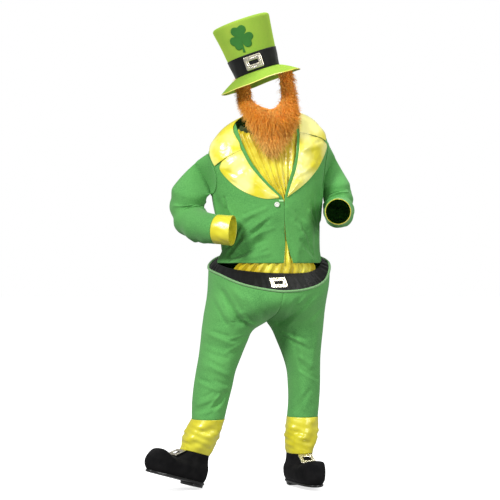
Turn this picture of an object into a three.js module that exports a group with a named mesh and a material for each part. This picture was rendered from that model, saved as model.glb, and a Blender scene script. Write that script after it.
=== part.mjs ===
// A leprechaun costume as it is worn: top hat with its fur beard, jacket with a mock shirt front,
// trousers held out by a waist hoop, ankle cuffs and buckled shoes.
// Millimetres, +Z up. The front faces -Y and the wearer's left is +X. The origin is the middle of
// the neck at the height of the collar.
import * as THREE from "three";

// Cloth and wall thicknesses
const clothWall = 2;
const satinWall = 1.6;
const feltWall = 3;
const furDepth = 22;
const seamGap = 0.3;

// The upper body: how far it is turned to the wearer's left, and how much its right shoulder drops
const torsoTurn = THREE.MathUtils.degToRad(15);
const shoulderDrop = 0.12;
const torsoSections = [
  { z: -660, halfWidth: 206, front: 150, back: 125, shift: 2 },
  { z: -570, halfWidth: 219, front: 154, back: 129, shift: 2 },
  { z: -519, halfWidth: 206, front: 148, back: 127, shift: 9 },
  { z: -430, halfWidth: 215, front: 148, back: 128, shift: 3 },
  { z: -357, halfWidth: 225, front: 146, back: 130, shift: 0 },
  { z: -260, halfWidth: 236, front: 140, back: 130, shift: 0 },
  { z: -180, halfWidth: 252, front: 130, back: 124, shift: 0 },
  { z: -110, halfWidth: 258, front: 116, back: 112, shift: 0 },
  { z: -60, halfWidth: 242, front: 103, back: 100, shift: 0 },
  { z: -25, halfWidth: 212, front: 94, back: 90, shift: 0 },
  { z: 0, halfWidth: 184, front: 88, back: 84, shift: 0 },
  { z: 22, halfWidth: 150, front: 80, back: 78, shift: 0 },
  { z: 40, halfWidth: 112, front: 72, back: 72, shift: 0 },
  { z: 52, halfWidth: 84, front: 66, back: 66, shift: 0 },
];
// Soft folds of the jacket: a line from one place to another, as girth from the front middle and height
const jacketFolds = [
  { girthA: -75, zA: -365, girthB: -180, zB: -440, width: 24, depth: 6 },
  { girthA: -20, zA: -380, girthB: -190, zB: -510, width: 26, depth: 8 },
  { girthA: -60, zA: -470, girthB: -230, zB: -560, width: 24, depth: -7 },
  { girthA: -250, zA: -330, girthB: -180, zB: -470, width: 28, depth: -7 },
  { girthA: 60, zA: -330, girthB: 150, zB: -420, width: 26, depth: 5 },
  { girthA: 110, zA: -420, girthB: 60, zB: -560, width: 24, depth: 6 },
  { girthA: 190, zA: -300, girthB: 200, zB: -540, width: 26, depth: -7 },
  { girthA: 330, zA: -240, girthB: 400, zB: -520, width: 30, depth: 7 },
  { girthA: 470, zA: -180, girthB: 520, zB: -500, width: 32, depth: -7 },
  { girthA: -330, zA: -260, girthB: -420, zB: -520, width: 30, depth: 7 },
];
const girthPerRadian = 190;

// Jacket panels
const jacketLevels = [
  -572, -545, -515, -480, -440, -400, -360, -322, -285, -275, -252, -222, -190, -158, -128, -105,
  -95, -72, -45, -15, 15, 38,
];
const armhole = { turn: 97, halfTurn: 27, middle: -190, halfHeight: 95 };
// Front edges of the jacket from the hem up: the closure to the button, then the roll of each lapel
const frontEdges = [
  { z: -600, right: 60, left: 108 },
  { z: -494, right: 69, left: 79 },
  { z: -407, right: 66, left: 68.4 },
  { z: -330, right: 64, left: 66.4 },
  { z: -299, right: 52, left: 68 },
  { z: -237, right: -9, left: 84 },
  { z: -166, right: -66, left: 106 },
  { z: -120, right: -90, left: 115 },
  { z: -71, right: -112, left: 118 },
  { z: 4, right: -136, left: 117 },
  { z: 60, right: -152, left: 112 },
];
// Lapels, from their lower tips to the seam with the collar: roll side and outer side
const lapels = {
  lapel_right: [
    { step: 0, inX: 40, inZ: -298, outX: 42, outZ: -308 },
    { step: 1, inX: 0, inZ: -262, outX: -18, outZ: -310 },
    { step: 2, inX: -38, inZ: -222, outX: -88, outZ: -287 },
    { step: 3, inX: -76, inZ: -174, outX: -148, outZ: -247 },
    { step: 4, inX: -104, inZ: -123, outX: -196, outZ: -191 },
    { step: 5, inX: -110.4, inZ: -111.8, outX: -190, outZ: -155 },
  ],
  lapel_left: [
    { step: 0, inX: 78, inZ: -294, outX: 76, outZ: -304 },
    { step: 1, inX: 96, inZ: -240, outX: 137, outZ: -257 },
    { step: 2, inX: 115, inZ: -180, outX: 180, outZ: -212 },
    { step: 3, inX: 126, inZ: -110, outX: 216, outZ: -158 },
    { step: 4, inX: 129, inZ: -46, outX: 243, outZ: -90 },
    { step: 5, inX: 128, inZ: -35, outX: 224, outZ: -58.6 },
  ],
};
// Collar, from its right notch round the back of the neck to its left notch: neck side and outer side
const collarRows = [
  { step: 0, inTurn: -33, inZ: -98, outTurn: -68, outZ: -150 },
  { step: 1, inTurn: -40, inZ: -52, outTurn: -80, outZ: -94 },
  { step: 2, inTurn: -66, inZ: 12, outTurn: -92, outZ: -58 },
  { step: 3, inTurn: -88, inZ: 40, outTurn: -106, outZ: -40 },
  { step: 4, inTurn: -118, inZ: 45, outTurn: -130, outZ: -28 },
  { step: 5, inTurn: -150, inZ: 45, outTurn: -154, outZ: -32 },
  { step: 6, inTurn: -180, inZ: 45, outTurn: -180, outZ: -38 },
  { step: 7, inTurn: -210, inZ: 45, outTurn: -206, outZ: -32 },
  { step: 8, inTurn: -242, inZ: 45, outTurn: -232, outZ: -28 },
  { step: 9, inTurn: -276, inZ: 40, outTurn: -262, outZ: -34 },
  { step: 10, inTurn: -314, inZ: 20, outTurn: -277, outZ: -38 },
  { step: 11, inTurn: -327, inZ: -16, outTurn: -285, outZ: -66 },
  { step: 12, inTurn: -333, inZ: -50, outTurn: -294, outZ: -94 },
];
const collarClear = 1.8;
const lapelClear = 1.2;
const collarRoll = 4;

// Mock shirt front: gathered satin that hangs from the neck binding down into the belt
const shirt = { halfTurnTop: 56, hemZ: -620, topFront: -44, topSide: 22 };
// How far the shirt front runs on under each side of the jacket front
const shirtMargins = [
  { z: -640, right: 214, left: 96 },
  { z: -590, right: 196, left: 92 },
  { z: -500, right: 90, left: 60 },
  { z: -400, right: 44, left: 42 },
  { z: 60, right: 42, left: 42 },
];
const shirtGathers = { count: 11, depth: 2.4, setIn: 7 };
const neckBinding = { height: 14, setIn: 5.5, halfTurn: 50 };

// Button and loop of the jacket front
const buttonPlace = { x: 34, z: -334, radius: 11, thick: 4, stand: 1.4 };
const buttonLoop = { x: 52, z: -318, halfWidth: 9, halfHeight: 3.5, stand: 0.7 };

// Sleeves: points of the middle line and the half width of the sleeve there
const sleeveLines = {
  right: [
    { x: -292, y: -58, z: -206, radius: 80 },
    { x: -322, y: -44, z: -276, radius: 75 },
    { x: -334, y: -34, z: -341, radius: 70 },
    { x: -320, y: -56, z: -392, radius: 69 },
    { x: -278, y: -116, z: -422, radius: 65 },
    { x: -206, y: -182, z: -435, radius: 60 },
  ],
  left: [
    { x: 264, y: 84, z: -190, radius: 62 },
    { x: 282, y: 92, z: -245, radius: 60 },
    { x: 294, y: 84, z: -305, radius: 61 },
    { x: 296, y: 42, z: -353, radius: 61 },
    { x: 291, y: -32, z: -366, radius: 60 },
    { x: 286, y: -104, z: -363, radius: 54 },
  ],
};
const shoulderBlend = 0.24;
const sleeveFold = { middle: 0.55, reach: 0.3, depth: 5, turns: 34 };
const cuffReach = 0.13;
const wristGap = 0.0015;
const cuffLines = {
  right: { x: -112, y: -214, z: -443, radius: 62 },
  left: { x: 281, y: -190, z: -363, radius: 51 },
};

// Waist hoop, as the height of its rim at each turn from the front, and its half width and depth
const hoop = { middleX: 4, halfWidth: 252, halfDepth: 234, wire: 5 };
const hoopRim = [
  { turn: -180, z: -500 },
  { turn: -124, z: -548 },
  { turn: -90, z: -589 },
  { turn: -55, z: -618 },
  { turn: -27, z: -656 },
  { turn: -6, z: -676 },
  { turn: 14, z: -686 },
  { turn: 39, z: -676 },
  { turn: 63, z: -647 },
  { turn: 90, z: -585 },
  { turn: 124, z: -546 },
  { turn: 180, z: -500 },
];
// Belt: the black band that fills the hoop, as the height of its upper edge round the waist
const beltTop = [
  { turn: -180, z: -512 },
  { turn: -90, z: -572 },
  { turn: -45, z: -600 },
  { turn: 0, z: -613 },
  { turn: 45, z: -606 },
  { turn: 90, z: -556 },
  { turn: 180, z: -512 },
];
const beltClear = 0.9;
const beltBuckle = {
  turn: 11, along: 0.46, stand: 0.9, width: 70, height: 56, holeWidth: 34, holeHeight: 18, thick: 3,
};

// Trousers: sections from the hoop down to the ankle. Join is how far they have left the rim of the
// hoop, split how far the legs have parted, ahead how far the right leg is put forward
const trouserTurn = THREE.MathUtils.degToRad(13);
const trouserMiddleX = -6;
const trouserClear = 0.6;
const trouserRows = [
  { step: 0, z: -600, join: 0, split: 0, outR: 250, outL: 268, inR: 0, inL: 0, front: 236, back: 236, ahead: 0 },
  { step: 1, z: -650, join: 0.25, split: 0.04, outR: 250, outL: 258, inR: 0, inL: 0, front: 226, back: 228, ahead: 0 },
  { step: 2, z: -698, join: 0.6, split: 0.16, outR: 251, outL: 250, inR: 0, inL: 0, front: 206, back: 212, ahead: 0 },
  { step: 3, z: -745, join: 0.87, split: 0.42, outR: 257, outL: 245, inR: 0, inL: 0, front: 182, back: 190, ahead: 0 },
  { step: 4, z: -785, join: 1, split: 0.8, outR: 263, outL: 242, inR: 0, inL: 0, front: 160, back: 168, ahead: 0 },
  { step: 5, z: -811, join: 1, split: 1, outR: 267, outL: 240, inR: 0.5, inL: 0.5, front: 146, back: 152, ahead: 0 },
  { step: 6, z: -850, join: 1, split: 1, outR: 273, outL: 237, inR: 62, inL: 26, front: 128, back: 132, ahead: 2 },
  { step: 7, z: -900, join: 1, split: 1, outR: 279, outL: 232, inR: 88, inL: 48, front: 113, back: 116, ahead: 5 },
  { step: 8, z: -960, join: 1, split: 1, outR: 288, outL: 227, inR: 114, inL: 72, front: 102, back: 104, ahead: 9 },
  { step: 9, z: -1020, join: 1, split: 1, outR: 300, outL: 226, inR: 138, inL: 89, front: 95, back: 97, ahead: 13 },
  { step: 10, z: -1080, join: 1, split: 1, outR: 311, outL: 226, inR: 152, inL: 94, front: 88, back: 90, ahead: 18 },
  { step: 11, z: -1145, join: 1, split: 1, outR: 319, outL: 223, inR: 170, inL: 95, front: 80, back: 82, ahead: 24 },
  { step: 12, z: -1212, join: 1, split: 1, outR: 322, outL: 218, inR: 187, inL: 89, front: 70, back: 70, ahead: 30 },
];
const crotchStep = 5;
// Folds of the trousers, as lines on the front or on the back, from one place to another
const trouserFolds = [
  { side: 1, xA: -205, zA: -660, xB: -116, zB: -805, width: 20, depth: -8 },
  { side: 1, xA: -116, zA: -805, xB: -60, zB: -850, width: 18, depth: -7 },
  { side: 1, xA: -160, zA: -660, xB: -80, zB: -790, width: 24, depth: 6 },
  { side: 1, xA: 224, zA: -655, xB: 40, zB: -815, width: 20, depth: -8 },
  { side: 1, xA: 215, zA: -700, xB: 70, zB: -850, width: 22, depth: 6 },
  { side: 1, xA: -260, zA: -900, xB: -120, zB: -945, width: 18, depth: -6 },
  { side: 1, xA: -280, zA: -985, xB: -150, zB: -1025, width: 18, depth: 6 },
  { side: 1, xA: -170, zA: -1105, xB: -310, zB: -1195, width: 20, depth: -8 },
  { side: 1, xA: 120, zA: -900, xB: 150, zB: -1180, width: 20, depth: 6 },
  { side: 1, xA: 195, zA: -930, xB: 190, zB: -1160, width: 20, depth: -6 },
  { side: -1, xA: -210, zA: -640, xB: -60, zB: -830, width: 24, depth: -8 },
  { side: -1, xA: 210, zA: -640, xB: 50, zB: -830, width: 24, depth: -8 },
  { side: -1, xA: -270, zA: -960, xB: -140, zB: -1010, width: 20, depth: -7 },
  { side: -1, xA: -290, zA: -1060, xB: -160, zB: -1100, width: 20, depth: 6 },
  { side: -1, xA: 90, zA: -970, xB: 210, zB: -1010, width: 20, depth: -7 },
  { side: -1, xA: 100, zA: -1080, xB: 210, zB: -1120, width: 20, depth: 6 },
];
const ankleCuff = { fullness: 7, creases: 5, creaseDepth: 3.5, clear: 0.5 };

// Shoes: egg-shaped sections from the sole up to the opening, and where each shoe stands
const shoeSections = [
  { height: 22, toe: 206, heel: 64, halfWidth: 52 },
  { height: 38, toe: 219, heel: 68, halfWidth: 60 },
  { height: 60, toe: 223, heel: 69, halfWidth: 63 },
  { height: 76, toe: 205, heel: 69, halfWidth: 62 },
  { height: 86, toe: 158, heel: 68, halfWidth: 58 },
  { height: 95, toe: 112, heel: 66, halfWidth: 54 },
  { height: 108, toe: 91, heel: 63, halfWidth: 52 },
  { height: 121, toe: 75, heel: 61, halfWidth: 51 },
  { height: 134, toe: 62, heel: 60, halfWidth: 50 },
];
// The puffed toe: how far it is lifted, where along the shoe, and between which heights it begins
const toePuff = { lift: 33, middle: 174, reach: 42, lowZ: 42, highZ: 78 };
const shoeSole = { bottom: 12, top: 21.6, spread: 4 };
const shoeHeel = { bottom: 0, top: 11.7, spread: 2, toeward: 0.06, across: 0.92 };
const shoeBuckle = { along: 88, width: 66, length: 56, holeWidth: 34, holeLength: 22, thick: 3, stand: 0.1 };
const shoes = {
  right: { x: -332, y: -104, z: -1481, turn: 216, pitch: 16 },
  left: { x: 130, y: 24, z: -1496, turn: -70, pitch: 0 },
};

// Hat: where its base stands, how it leans, and its sizes
const hatColumns = 24;
const hatPlace = { x: -44, y: -22, z: 218, lean: 19, nod: 2 };
const hatCrown = { baseX: 93, baseY: 106, topX: 124, topY: 132, height: 220, edge: 14 };
const hatBrim = { outX: 171, outY: 184, drop: 42, gap: 0.6 };
const hatBand = { bottom: 1.5, top: 75, proud: 0.5 };
const hatBuckle = { turn: -3, height: 38, width: 74, tall: 56, holeWidth: 38, holeTall: 16, thick: 3, stand: -0.1 };
const shamrock = { turn: -12, height: 146, size: 53, notch: 0.2, thick: 1.5, stand: 1.3 };

// Beard: one fur piece from one temple round the chin to the other, face side and outer side
const beardRows = [
  { step: 0, inX: -88, inY: -70, inZ: 191.6, outX: -128.8, outY: -22, outZ: 189.6 },
  { step: 1, inX: -74, inY: -70, inZ: 148, outX: -117, outY: -28, outZ: 128 },
  { step: 2, inX: -71, inY: -82, inZ: 108, outX: -110, outY: -44, outZ: 83 },
  { step: 3, inX: -58, inY: -100, inZ: 86, outX: -92, outY: -76, outZ: 44 },
  { step: 4, inX: -34, inY: -116, inZ: 70, outX: -68, outY: -108, outZ: -2 },
  { step: 5, inX: -6, inY: -124, inZ: 60, outX: -36, outY: -132, outZ: -50 },
  { step: 6, inX: 8, inY: -124, inZ: 57, outX: 18, outY: -146, outZ: -112 },
  { step: 7, inX: 28, inY: -118, inZ: 63, outX: 64, outY: -138, outZ: -58 },
  { step: 8, inX: 44, inY: -106, inZ: 78, outX: 98, outY: -112, outZ: -12 },
  { step: 9, inX: 54, inY: -92, inZ: 108, outX: 118, outY: -74, outZ: 32 },
  { step: 10, inX: 52, inY: -80, inZ: 150, outX: 112, outY: -44, outZ: 92 },
  { step: 11, inX: 46, inY: -74, inZ: 190, outX: 104, outY: -28, outZ: 150 },
  { step: 12, inX: 34, inY: -72, inZ: 231.6, outX: 92, outY: -22, outZ: 227.6 },
];
const beardBulge = 20;
const beardClear = 3;
const beardRest = { lowZ: -60, highZ: 30, topZ: 50, freeLowZ: 20, freeHighZ: 70 };
const furEdge = { share: 0.45, power: 0.7 };

const colours = {
  jersey: 0x4fa34f,
  satin: 0xf0e34a,
  felt: 0x86c236,
  applique: 0x2f6b33,
  black: 0x1b1b1e,
  fur: 0xd8752a,
  metal: 0xd9cfa0,
  pearl: 0xd8dcd2,
};

// A cubic through the rows of a table, for one column, at a value of the key column
function columnAt(table, key, name, at) {
  let i = 0;
  while (i < table.length - 2 && at > table[i + 1][key]) i++;
  const slope = (k) => {
    const a = table[Math.max(k - 1, 0)];
    const b = table[Math.min(k + 1, table.length - 1)];
    return (b[name] - a[name]) / (b[key] - a[key]);
  };
  const span = table[i + 1][key] - table[i][key];
  const t = THREE.MathUtils.clamp((at - table[i][key]) / span, -0.05, 1.05);
  const start = (1 + 2 * t) * (1 - t) * (1 - t) * table[i][name];
  const end = t * t * (3 - 2 * t) * table[i + 1][name];
  const startSlope = t * (1 - t) * (1 - t) * span * slope(i);
  const endSlope = t * t * (t - 1) * span * slope(i + 1);
  return start + end + startSlope + endSlope;
}

const mix = THREE.MathUtils.lerp;
const ease = (at, from, to) => THREE.MathUtils.smoothstep(at, from, to);
const rad = THREE.MathUtils.degToRad;

// Height of a row of folds at a place: each is a soft ridge along a line, dying away at its ends
function foldHeight(folds, a, b, nameA, nameB) {
  let sum = 0;
  for (const fold of folds) {
    const a0 = fold[nameA + "A"];
    const b0 = fold[nameB + "A"];
    const da = fold[nameA + "B"] - a0;
    const db = fold[nameB + "B"] - b0;
    const length = Math.hypot(da, db);
    const along = ((a - a0) * da + (b - b0) * db) / length;
    const across = ((a - a0) * db - (b - b0) * da) / length;
    const past = Math.max(0, -along, along - length);
    sum += fold.depth * Math.exp(-(across * across + past * past) / (fold.width * fold.width));
  }
  return sum;
}

// A closed wall from a surface of two parameters: the outer face, the inner face moved in by the
// thickness, and a rim on each open side. Across is u, up is v, and u runs left to right outside.
function wall(pointAt, options) {
  const { columns, rows, thickness, wrap = false, pole = false, levels = null } = options;
  const outer = [];
  const inner = [];
  const step = 1e-3;
  for (let i = 0; i <= rows; i++) {
    const v = levels ? levels[i] : i / rows;
    const outerRow = [];
    const normals = [];
    for (let j = 0; j < (wrap ? columns : columns + 1); j++) {
      const u = j / columns;
      const low = pole ? Math.min(v, 1 - 2 * step) : v;
      const du = pointAt(u + step, low).sub(pointAt(u - step, low));
      const dv = pointAt(u, low + step).sub(pointAt(u, low - step));
      outerRow.push(pointAt(u, v));
      normals.push(du.cross(dv).normalize());
    }
    if (pole && i === rows) {
      const mean = normals.reduce((sum, n) => sum.add(n), new THREE.Vector3()).normalize();
      normals.forEach((n) => n.copy(mean));
    }
    outer.push(outerRow);
    inner.push(normals);
  }
  const count = outer[0].length;
  const pull = (p, q) => p.addScaledVector(q.clone().sub(p).normalize(), seamGap / 2);
  for (let j = 0; j < count; j++) {
    pull(outer[0][j], outer[1][j]);
    if (!pole) pull(outer[rows][j], outer[rows - 1][j]);
  }
  if (!wrap)
    for (let i = 0; i <= rows; i++) {
      pull(outer[i][0], outer[i][1]);
      pull(outer[i][count - 1], outer[i][count - 2]);
    }
  for (let i = 0; i <= rows; i++)
    for (let j = 0; j < count; j++) {
      const deep = typeof thickness === "function" ? thickness(j / columns, i / rows) : thickness;
      inner[i][j] = outer[i][j].clone().addScaledVector(inner[i][j], -deep);
    }

  const faces = [];
  const quad = (a, b, c, d) => faces.push([a, b, c], [a, c, d]);
  const next = (j) => (wrap ? (j + 1) % columns : j + 1);
  for (let i = 0; i < rows; i++)
    for (let j = 0; j < columns; j++) {
      const k = next(j);
      quad(outer[i][j], outer[i][k], outer[i + 1][k], outer[i + 1][j]);
      quad(inner[i][j], inner[i + 1][j], inner[i + 1][k], inner[i][k]);
    }
  for (let j = 0; j < columns; j++) {
    const k = next(j);
    quad(outer[0][k], outer[0][j], inner[0][j], inner[0][k]);
    if (!pole) quad(outer[rows][j], outer[rows][k], inner[rows][k], inner[rows][j]);
  }
  if (!wrap)
    for (let i = 0; i < rows; i++) {
      const last = count - 1;
      quad(outer[i][0], outer[i + 1][0], inner[i + 1][0], inner[i][0]);
      quad(outer[i + 1][last], outer[i][last], inner[i][last], inner[i + 1][last]);
    }
  return geometryOf(faces);
}

// A closed solid through rings of points, with a fan at each end
function loft(rings) {
  const faces = [];
  const count = rings[0].length;
  for (let i = 0; i < rings.length - 1; i++)
    for (let j = 0; j < count; j++) {
      const k = (j + 1) % count;
      faces.push([rings[i][j], rings[i][k], rings[i + 1][k]], [rings[i][j], rings[i + 1][k], rings[i + 1][j]]);
    }
  const middle = (ring) => ring.reduce((sum, p) => sum.add(p), new THREE.Vector3()).divideScalar(count);
  const first = middle(rings[0]);
  const last = middle(rings[rings.length - 1]);
  for (let j = 0; j < count; j++) {
    const k = (j + 1) % count;
    faces.push([first, rings[0][k], rings[0][j]]);
    faces.push([last, rings[rings.length - 1][j], rings[rings.length - 1][k]]);
  }
  return geometryOf(faces);
}

// Triangles to an indexed geometry whose shared corners are one vertex
function geometryOf(faces) {
  const places = new Map();
  const positions = [];
  const indices = [];
  const cornerOf = (p) => {
    const key = [p.x, p.y, p.z].map((value) => Math.round(value * 500)).join();
    if (!places.has(key)) {
      places.set(key, positions.length / 3);
      positions.push(p.x, p.y, p.z);
    }
    return places.get(key);
  };
  for (const face of faces) {
    const [a, b, c] = face.map(cornerOf);
    if (a !== b && b !== c && c !== a) indices.push(a, b, c);
  }
  const geometry = new THREE.BufferGeometry();
  geometry.setAttribute("position", new THREE.Float32BufferAttribute(positions, 3));
  geometry.setIndex(indices);
  geometry.computeVertexNormals();
  return geometry;
}

const costume = new THREE.Group();

function addPiece(name, geometry, colour, roughness = 0.85, metalness = 0, parent = costume) {
  const material = new THREE.MeshStandardMaterial({ color: colour, roughness, metalness });
  const piece = new THREE.Mesh(geometry, material);
  piece.name = name;
  parent.add(piece);
  return piece;
}

// The jacket's surface before its folds: turn is the angle from the front middle, + to the left arm
function torsoBase(turn, z) {
  const at = (name) => columnAt(torsoSections, "z", name, z);
  const depth = Math.cos(turn) > 0 ? at("front") : at("back");
  const girth = Math.atan2(Math.sin(turn), Math.cos(turn)) * girthPerRadian;
  const wrapped = girth < -400 ? girth + 2 * Math.PI * girthPerRadian : girth;
  const fold = foldHeight(jacketFolds, wrapped, z, "girth", "z") * (1 - ease(z, -300, -180));
  const x = (at("halfWidth") + fold) * Math.sin(turn);
  const y = -(depth + fold) * Math.cos(turn);
  const worldX = at("shift") + x * Math.cos(torsoTurn) - y * Math.sin(torsoTurn);
  const worldY = x * Math.sin(torsoTurn) + y * Math.cos(torsoTurn);
  return new THREE.Vector3(worldX, worldY, z + shoulderDrop * worldX * ease(z, -380, -120));
}

// The same surface moved out along its own direction
function torsoPoint(turn, z, out = 0) {
  const point = torsoBase(turn, z);
  if (out === 0) return point;
  const across = torsoBase(turn + 0.002, z).sub(torsoBase(turn - 0.002, z));
  const up = torsoBase(turn, z + 0.5).sub(torsoBase(turn, z - 0.5));
  return point.addScaledVector(across.cross(up).normalize(), out);
}

// Turn and height on the jacket's front for a place given as x and z
function frontPlace(x, worldZ) {
  const z = worldZ - shoulderDrop * x * ease(worldZ, -380, -120);
  const at = (name) => columnAt(torsoSections, "z", name, z);
  const wide = at("halfWidth") * Math.cos(torsoTurn);
  const deep = at("front") * Math.sin(torsoTurn);
  const reach = THREE.MathUtils.clamp((x - at("shift")) / Math.hypot(wide, deep), -1, 1);
  return { turn: Math.asin(reach) - Math.atan2(deep, wide), z };
}

// Half the armhole's width at a height, as a turn in degrees
function armholeReach(z) {
  const rise = (z - armhole.middle) / armhole.halfHeight;
  return Math.abs(rise) >= 1 ? 0 : armhole.halfTurn * Math.sqrt(1 - rise * rise);
}

function frontEdgeTurn(side, z) {
  const name = side < 0 ? "right" : "left";
  let x = columnAt(frontEdges, "z", name, z);
  x = columnAt(frontEdges, "z", name, z + shoulderDrop * x * ease(z, -380, -120));
  return frontPlace(x, z + shoulderDrop * x * ease(z, -380, -120)).turn;
}
const levelSpan = jacketLevels[jacketLevels.length - 1] - jacketLevels[0];
const jacketSteps = jacketLevels.map((z) => (z - jacketLevels[0]) / levelSpan);
const levelAt = (v) => jacketLevels[0] + v * levelSpan;

function buildJacket() {
  const panel = { rows: jacketLevels.length - 1, levels: jacketSteps, thickness: clothWall };
  for (const [name, side] of [["jacket_front_right", -1], ["jacket_front_left", 1]]) {
    const surface = (u, v) => {
      const z = levelAt(v);
      const middle = frontEdgeTurn(side, z);
      const arm = side * rad(armhole.turn - armholeReach(z));
      const across = side > 0 ? u : 1 - u;
      return torsoPoint(mix(middle, arm, across), z);
    };
    addPiece(name, wall(surface, { ...panel, columns: 9 }), colours.jersey);
  }
  const backSurface = (u, v) => {
    const z = levelAt(v);
    const from = rad(armhole.turn + armholeReach(z));
    return torsoPoint(mix(from, 2 * Math.PI - from, u), z);
  };
  addPiece("jacket_back", wall(backSurface, { ...panel, columns: 14 }), colours.jersey);
}

// Lapels and collar lie on the jacket, a little rolled between their edges
function buildCollar() {
  const roll = (part) => satinWall + collarRoll * Math.sin(Math.PI * THREE.MathUtils.clamp(part, 0, 1));
  for (const [name, rows] of Object.entries(lapels)) {
    const isRight = name.endsWith("right");
    const surface = (u, v) => {
      const step = v * (rows.length - 1);
      const at = (column) => columnAt(rows, "step", column, step);
      const across = isRight ? 1 - u : u;
      const place = frontPlace(mix(at("inX"), at("outX"), across), mix(at("inZ"), at("outZ"), across));
      return torsoPoint(place.turn, place.z, lapelClear + roll(u));
    };
    addPiece(name, wall(surface, { columns: 6, rows: 10, thickness: satinWall }), colours.satin, 0.4);
  }
  const collarSurface = (u, v) => {
    const step = (1 - u) * (collarRows.length - 1);
    const at = (column) => columnAt(collarRows, "step", column, step);
    const turn = mix(at("outTurn"), at("inTurn"), v);
    return torsoPoint(rad(turn), mix(at("outZ"), at("inZ"), v), collarClear + roll(v));
  };
  const band = { columns: 30, rows: 5, thickness: satinWall };
  addPiece("collar", wall((u, v) => collarSurface(1 - u, 1 - v), band), colours.satin, 0.4);
}

// Top edge of the shirt front at a turn from the front middle
const shirtTop = (turn) => mix(shirt.topFront, shirt.topSide, Math.sin(Math.min(Math.abs(turn), 1.2)) ** 2);

function shirtEdgeTurn(side, z) {
  const name = side < 0 ? "right" : "left";
  const edgeX = columnAt(frontEdges, "z", name, z) + side * columnAt(shirtMargins, "z", name, z);
  const limit = rad(shirt.halfTurnTop);
  return THREE.MathUtils.clamp(frontPlace(edgeX, z).turn, -limit, limit);
}

function buildShirt() {
  const surface = (u, v) => {
    const roughZ = mix(shirt.hemZ, shirt.topFront, v);
    const turn = mix(shirtEdgeTurn(-1, roughZ), shirtEdgeTurn(1, roughZ), u);
    const z = mix(shirt.hemZ, shirtTop(turn), v);
    const wave = Math.cos(2 * Math.PI * shirtGathers.count * u);
    return torsoPoint(turn, z, shirtGathers.depth * wave - shirtGathers.setIn);
  };
  const columns = shirtGathers.count * 3;
  addPiece("shirt_front", wall(surface, { columns, rows: 9, thickness: satinWall }), colours.satin, 0.35);
  const half = rad(neckBinding.halfTurn);
  const binding = (u, v) => {
    const turn = mix(-half, half, u);
    return torsoPoint(turn, shirtTop(turn) + 0.6 + v * neckBinding.height, -neckBinding.setIn);
  };
  addPiece("shirt_neck_binding", wall(binding, { columns: 14, rows: 2, thickness: clothWall }), 0x30391f);
}

// Places a flat piece on a surface: its middle, its outward direction and its upward direction
function seat(piece, middle, outward, upward) {
  const side = new THREE.Vector3().crossVectors(upward, outward).normalize();
  const up = new THREE.Vector3().crossVectors(outward, side).normalize();
  piece.matrixAutoUpdate = false;
  piece.matrix.makeBasis(side, up, outward.clone().normalize()).setPosition(middle);
}

function buildButton() {
  const place = frontPlace(buttonPlace.x, buttonPlace.z);
  const foot = torsoPoint(place.turn, place.z, buttonPlace.stand);
  const outward = torsoPoint(place.turn, place.z, 10).sub(foot).normalize();
  const profile = [
    [0, 0],
    [0.72, 0],
    [1, 0.35],
    [0.9, 0.85],
    [0.6, 1],
    [0, 0.8],
  ].map(([r, h]) => new THREE.Vector2(r * buttonPlace.radius, h * buttonPlace.thick));
  const disc = new THREE.LatheGeometry(profile, 16).rotateX(Math.PI / 2);
  const button = addPiece("button", disc, colours.pearl, 0.25);
  seat(button, foot, outward, new THREE.Vector3(0, 0, 1));
  const surface = (u, v) => {
    const x = buttonLoop.x + mix(-1, 1, u) * buttonLoop.halfWidth;
    const at = frontPlace(x, buttonLoop.z + mix(-1, 1, v) * buttonLoop.halfHeight);
    return torsoPoint(at.turn, at.z, clothWall + buttonLoop.stand);
  };
  addPiece("button_loop", wall(surface, { columns: 3, rows: 1, thickness: clothWall }), 0x9fd08c);
}

// A sleeve's middle line with a frame that is carried along it without twisting
function sleeveFrames(line, firstAcross) {
  const points = line.map((row) => new THREE.Vector3(row.x, row.y, row.z));
  const curve = new THREE.CatmullRomCurve3(points, false, "centripetal");
  const frames = [];
  const count = 80;
  let across = firstAcross.clone();
  for (let i = 0; i <= count; i++) {
    const t = i / count;
    const forward = curve.getTangent(t);
    across = across.clone().addScaledVector(forward, -across.dot(forward)).normalize();
    const other = new THREE.Vector3().crossVectors(forward, across);
    const row = t * (line.length - 1);
    const table = line.map((entry, step) => ({ step, radius: entry.radius }));
    frames.push({ point: curve.getPoint(t), across, other, radius: columnAt(table, "step", "radius", row) });
  }
  return (t) => {
    const place = THREE.MathUtils.clamp(t, 0, 1) * count;
    const i = Math.min(Math.floor(place), count - 1);
    const part = place - i;
    return {
      point: frames[i].point.clone().lerp(frames[i + 1].point, part),
      across: frames[i].across.clone().lerp(frames[i + 1].across, part),
      other: frames[i].other.clone().lerp(frames[i + 1].other, part),
      radius: mix(frames[i].radius, frames[i + 1].radius, part),
    };
  };
}

// The armhole's edge on the jacket, from under the arm round the front to the top and the back
const armLevels = jacketLevels.filter((z) => Math.abs(z - armhole.middle) <= armhole.halfHeight);
const armColumns = 2 * (armLevels.length - 1);
function armholePoint(side, place) {
  const half = armLevels.length - 1;
  const wrapped = ((place % armColumns) + armColumns) % armColumns;
  const isFront = wrapped <= half;
  const index = isFront ? wrapped : armColumns - wrapped;
  const low = Math.min(Math.floor(index), half - 1);
  const pointAt = (level) => {
    const z = armLevels[level];
    const reach = armholeReach(z) * (isFront ? -1 : 1);
    return torsoPoint(side * rad(armhole.turn + reach), z, 0.5);
  };
  return pointAt(low).lerp(pointAt(low + 1), index - low);
}

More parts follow.
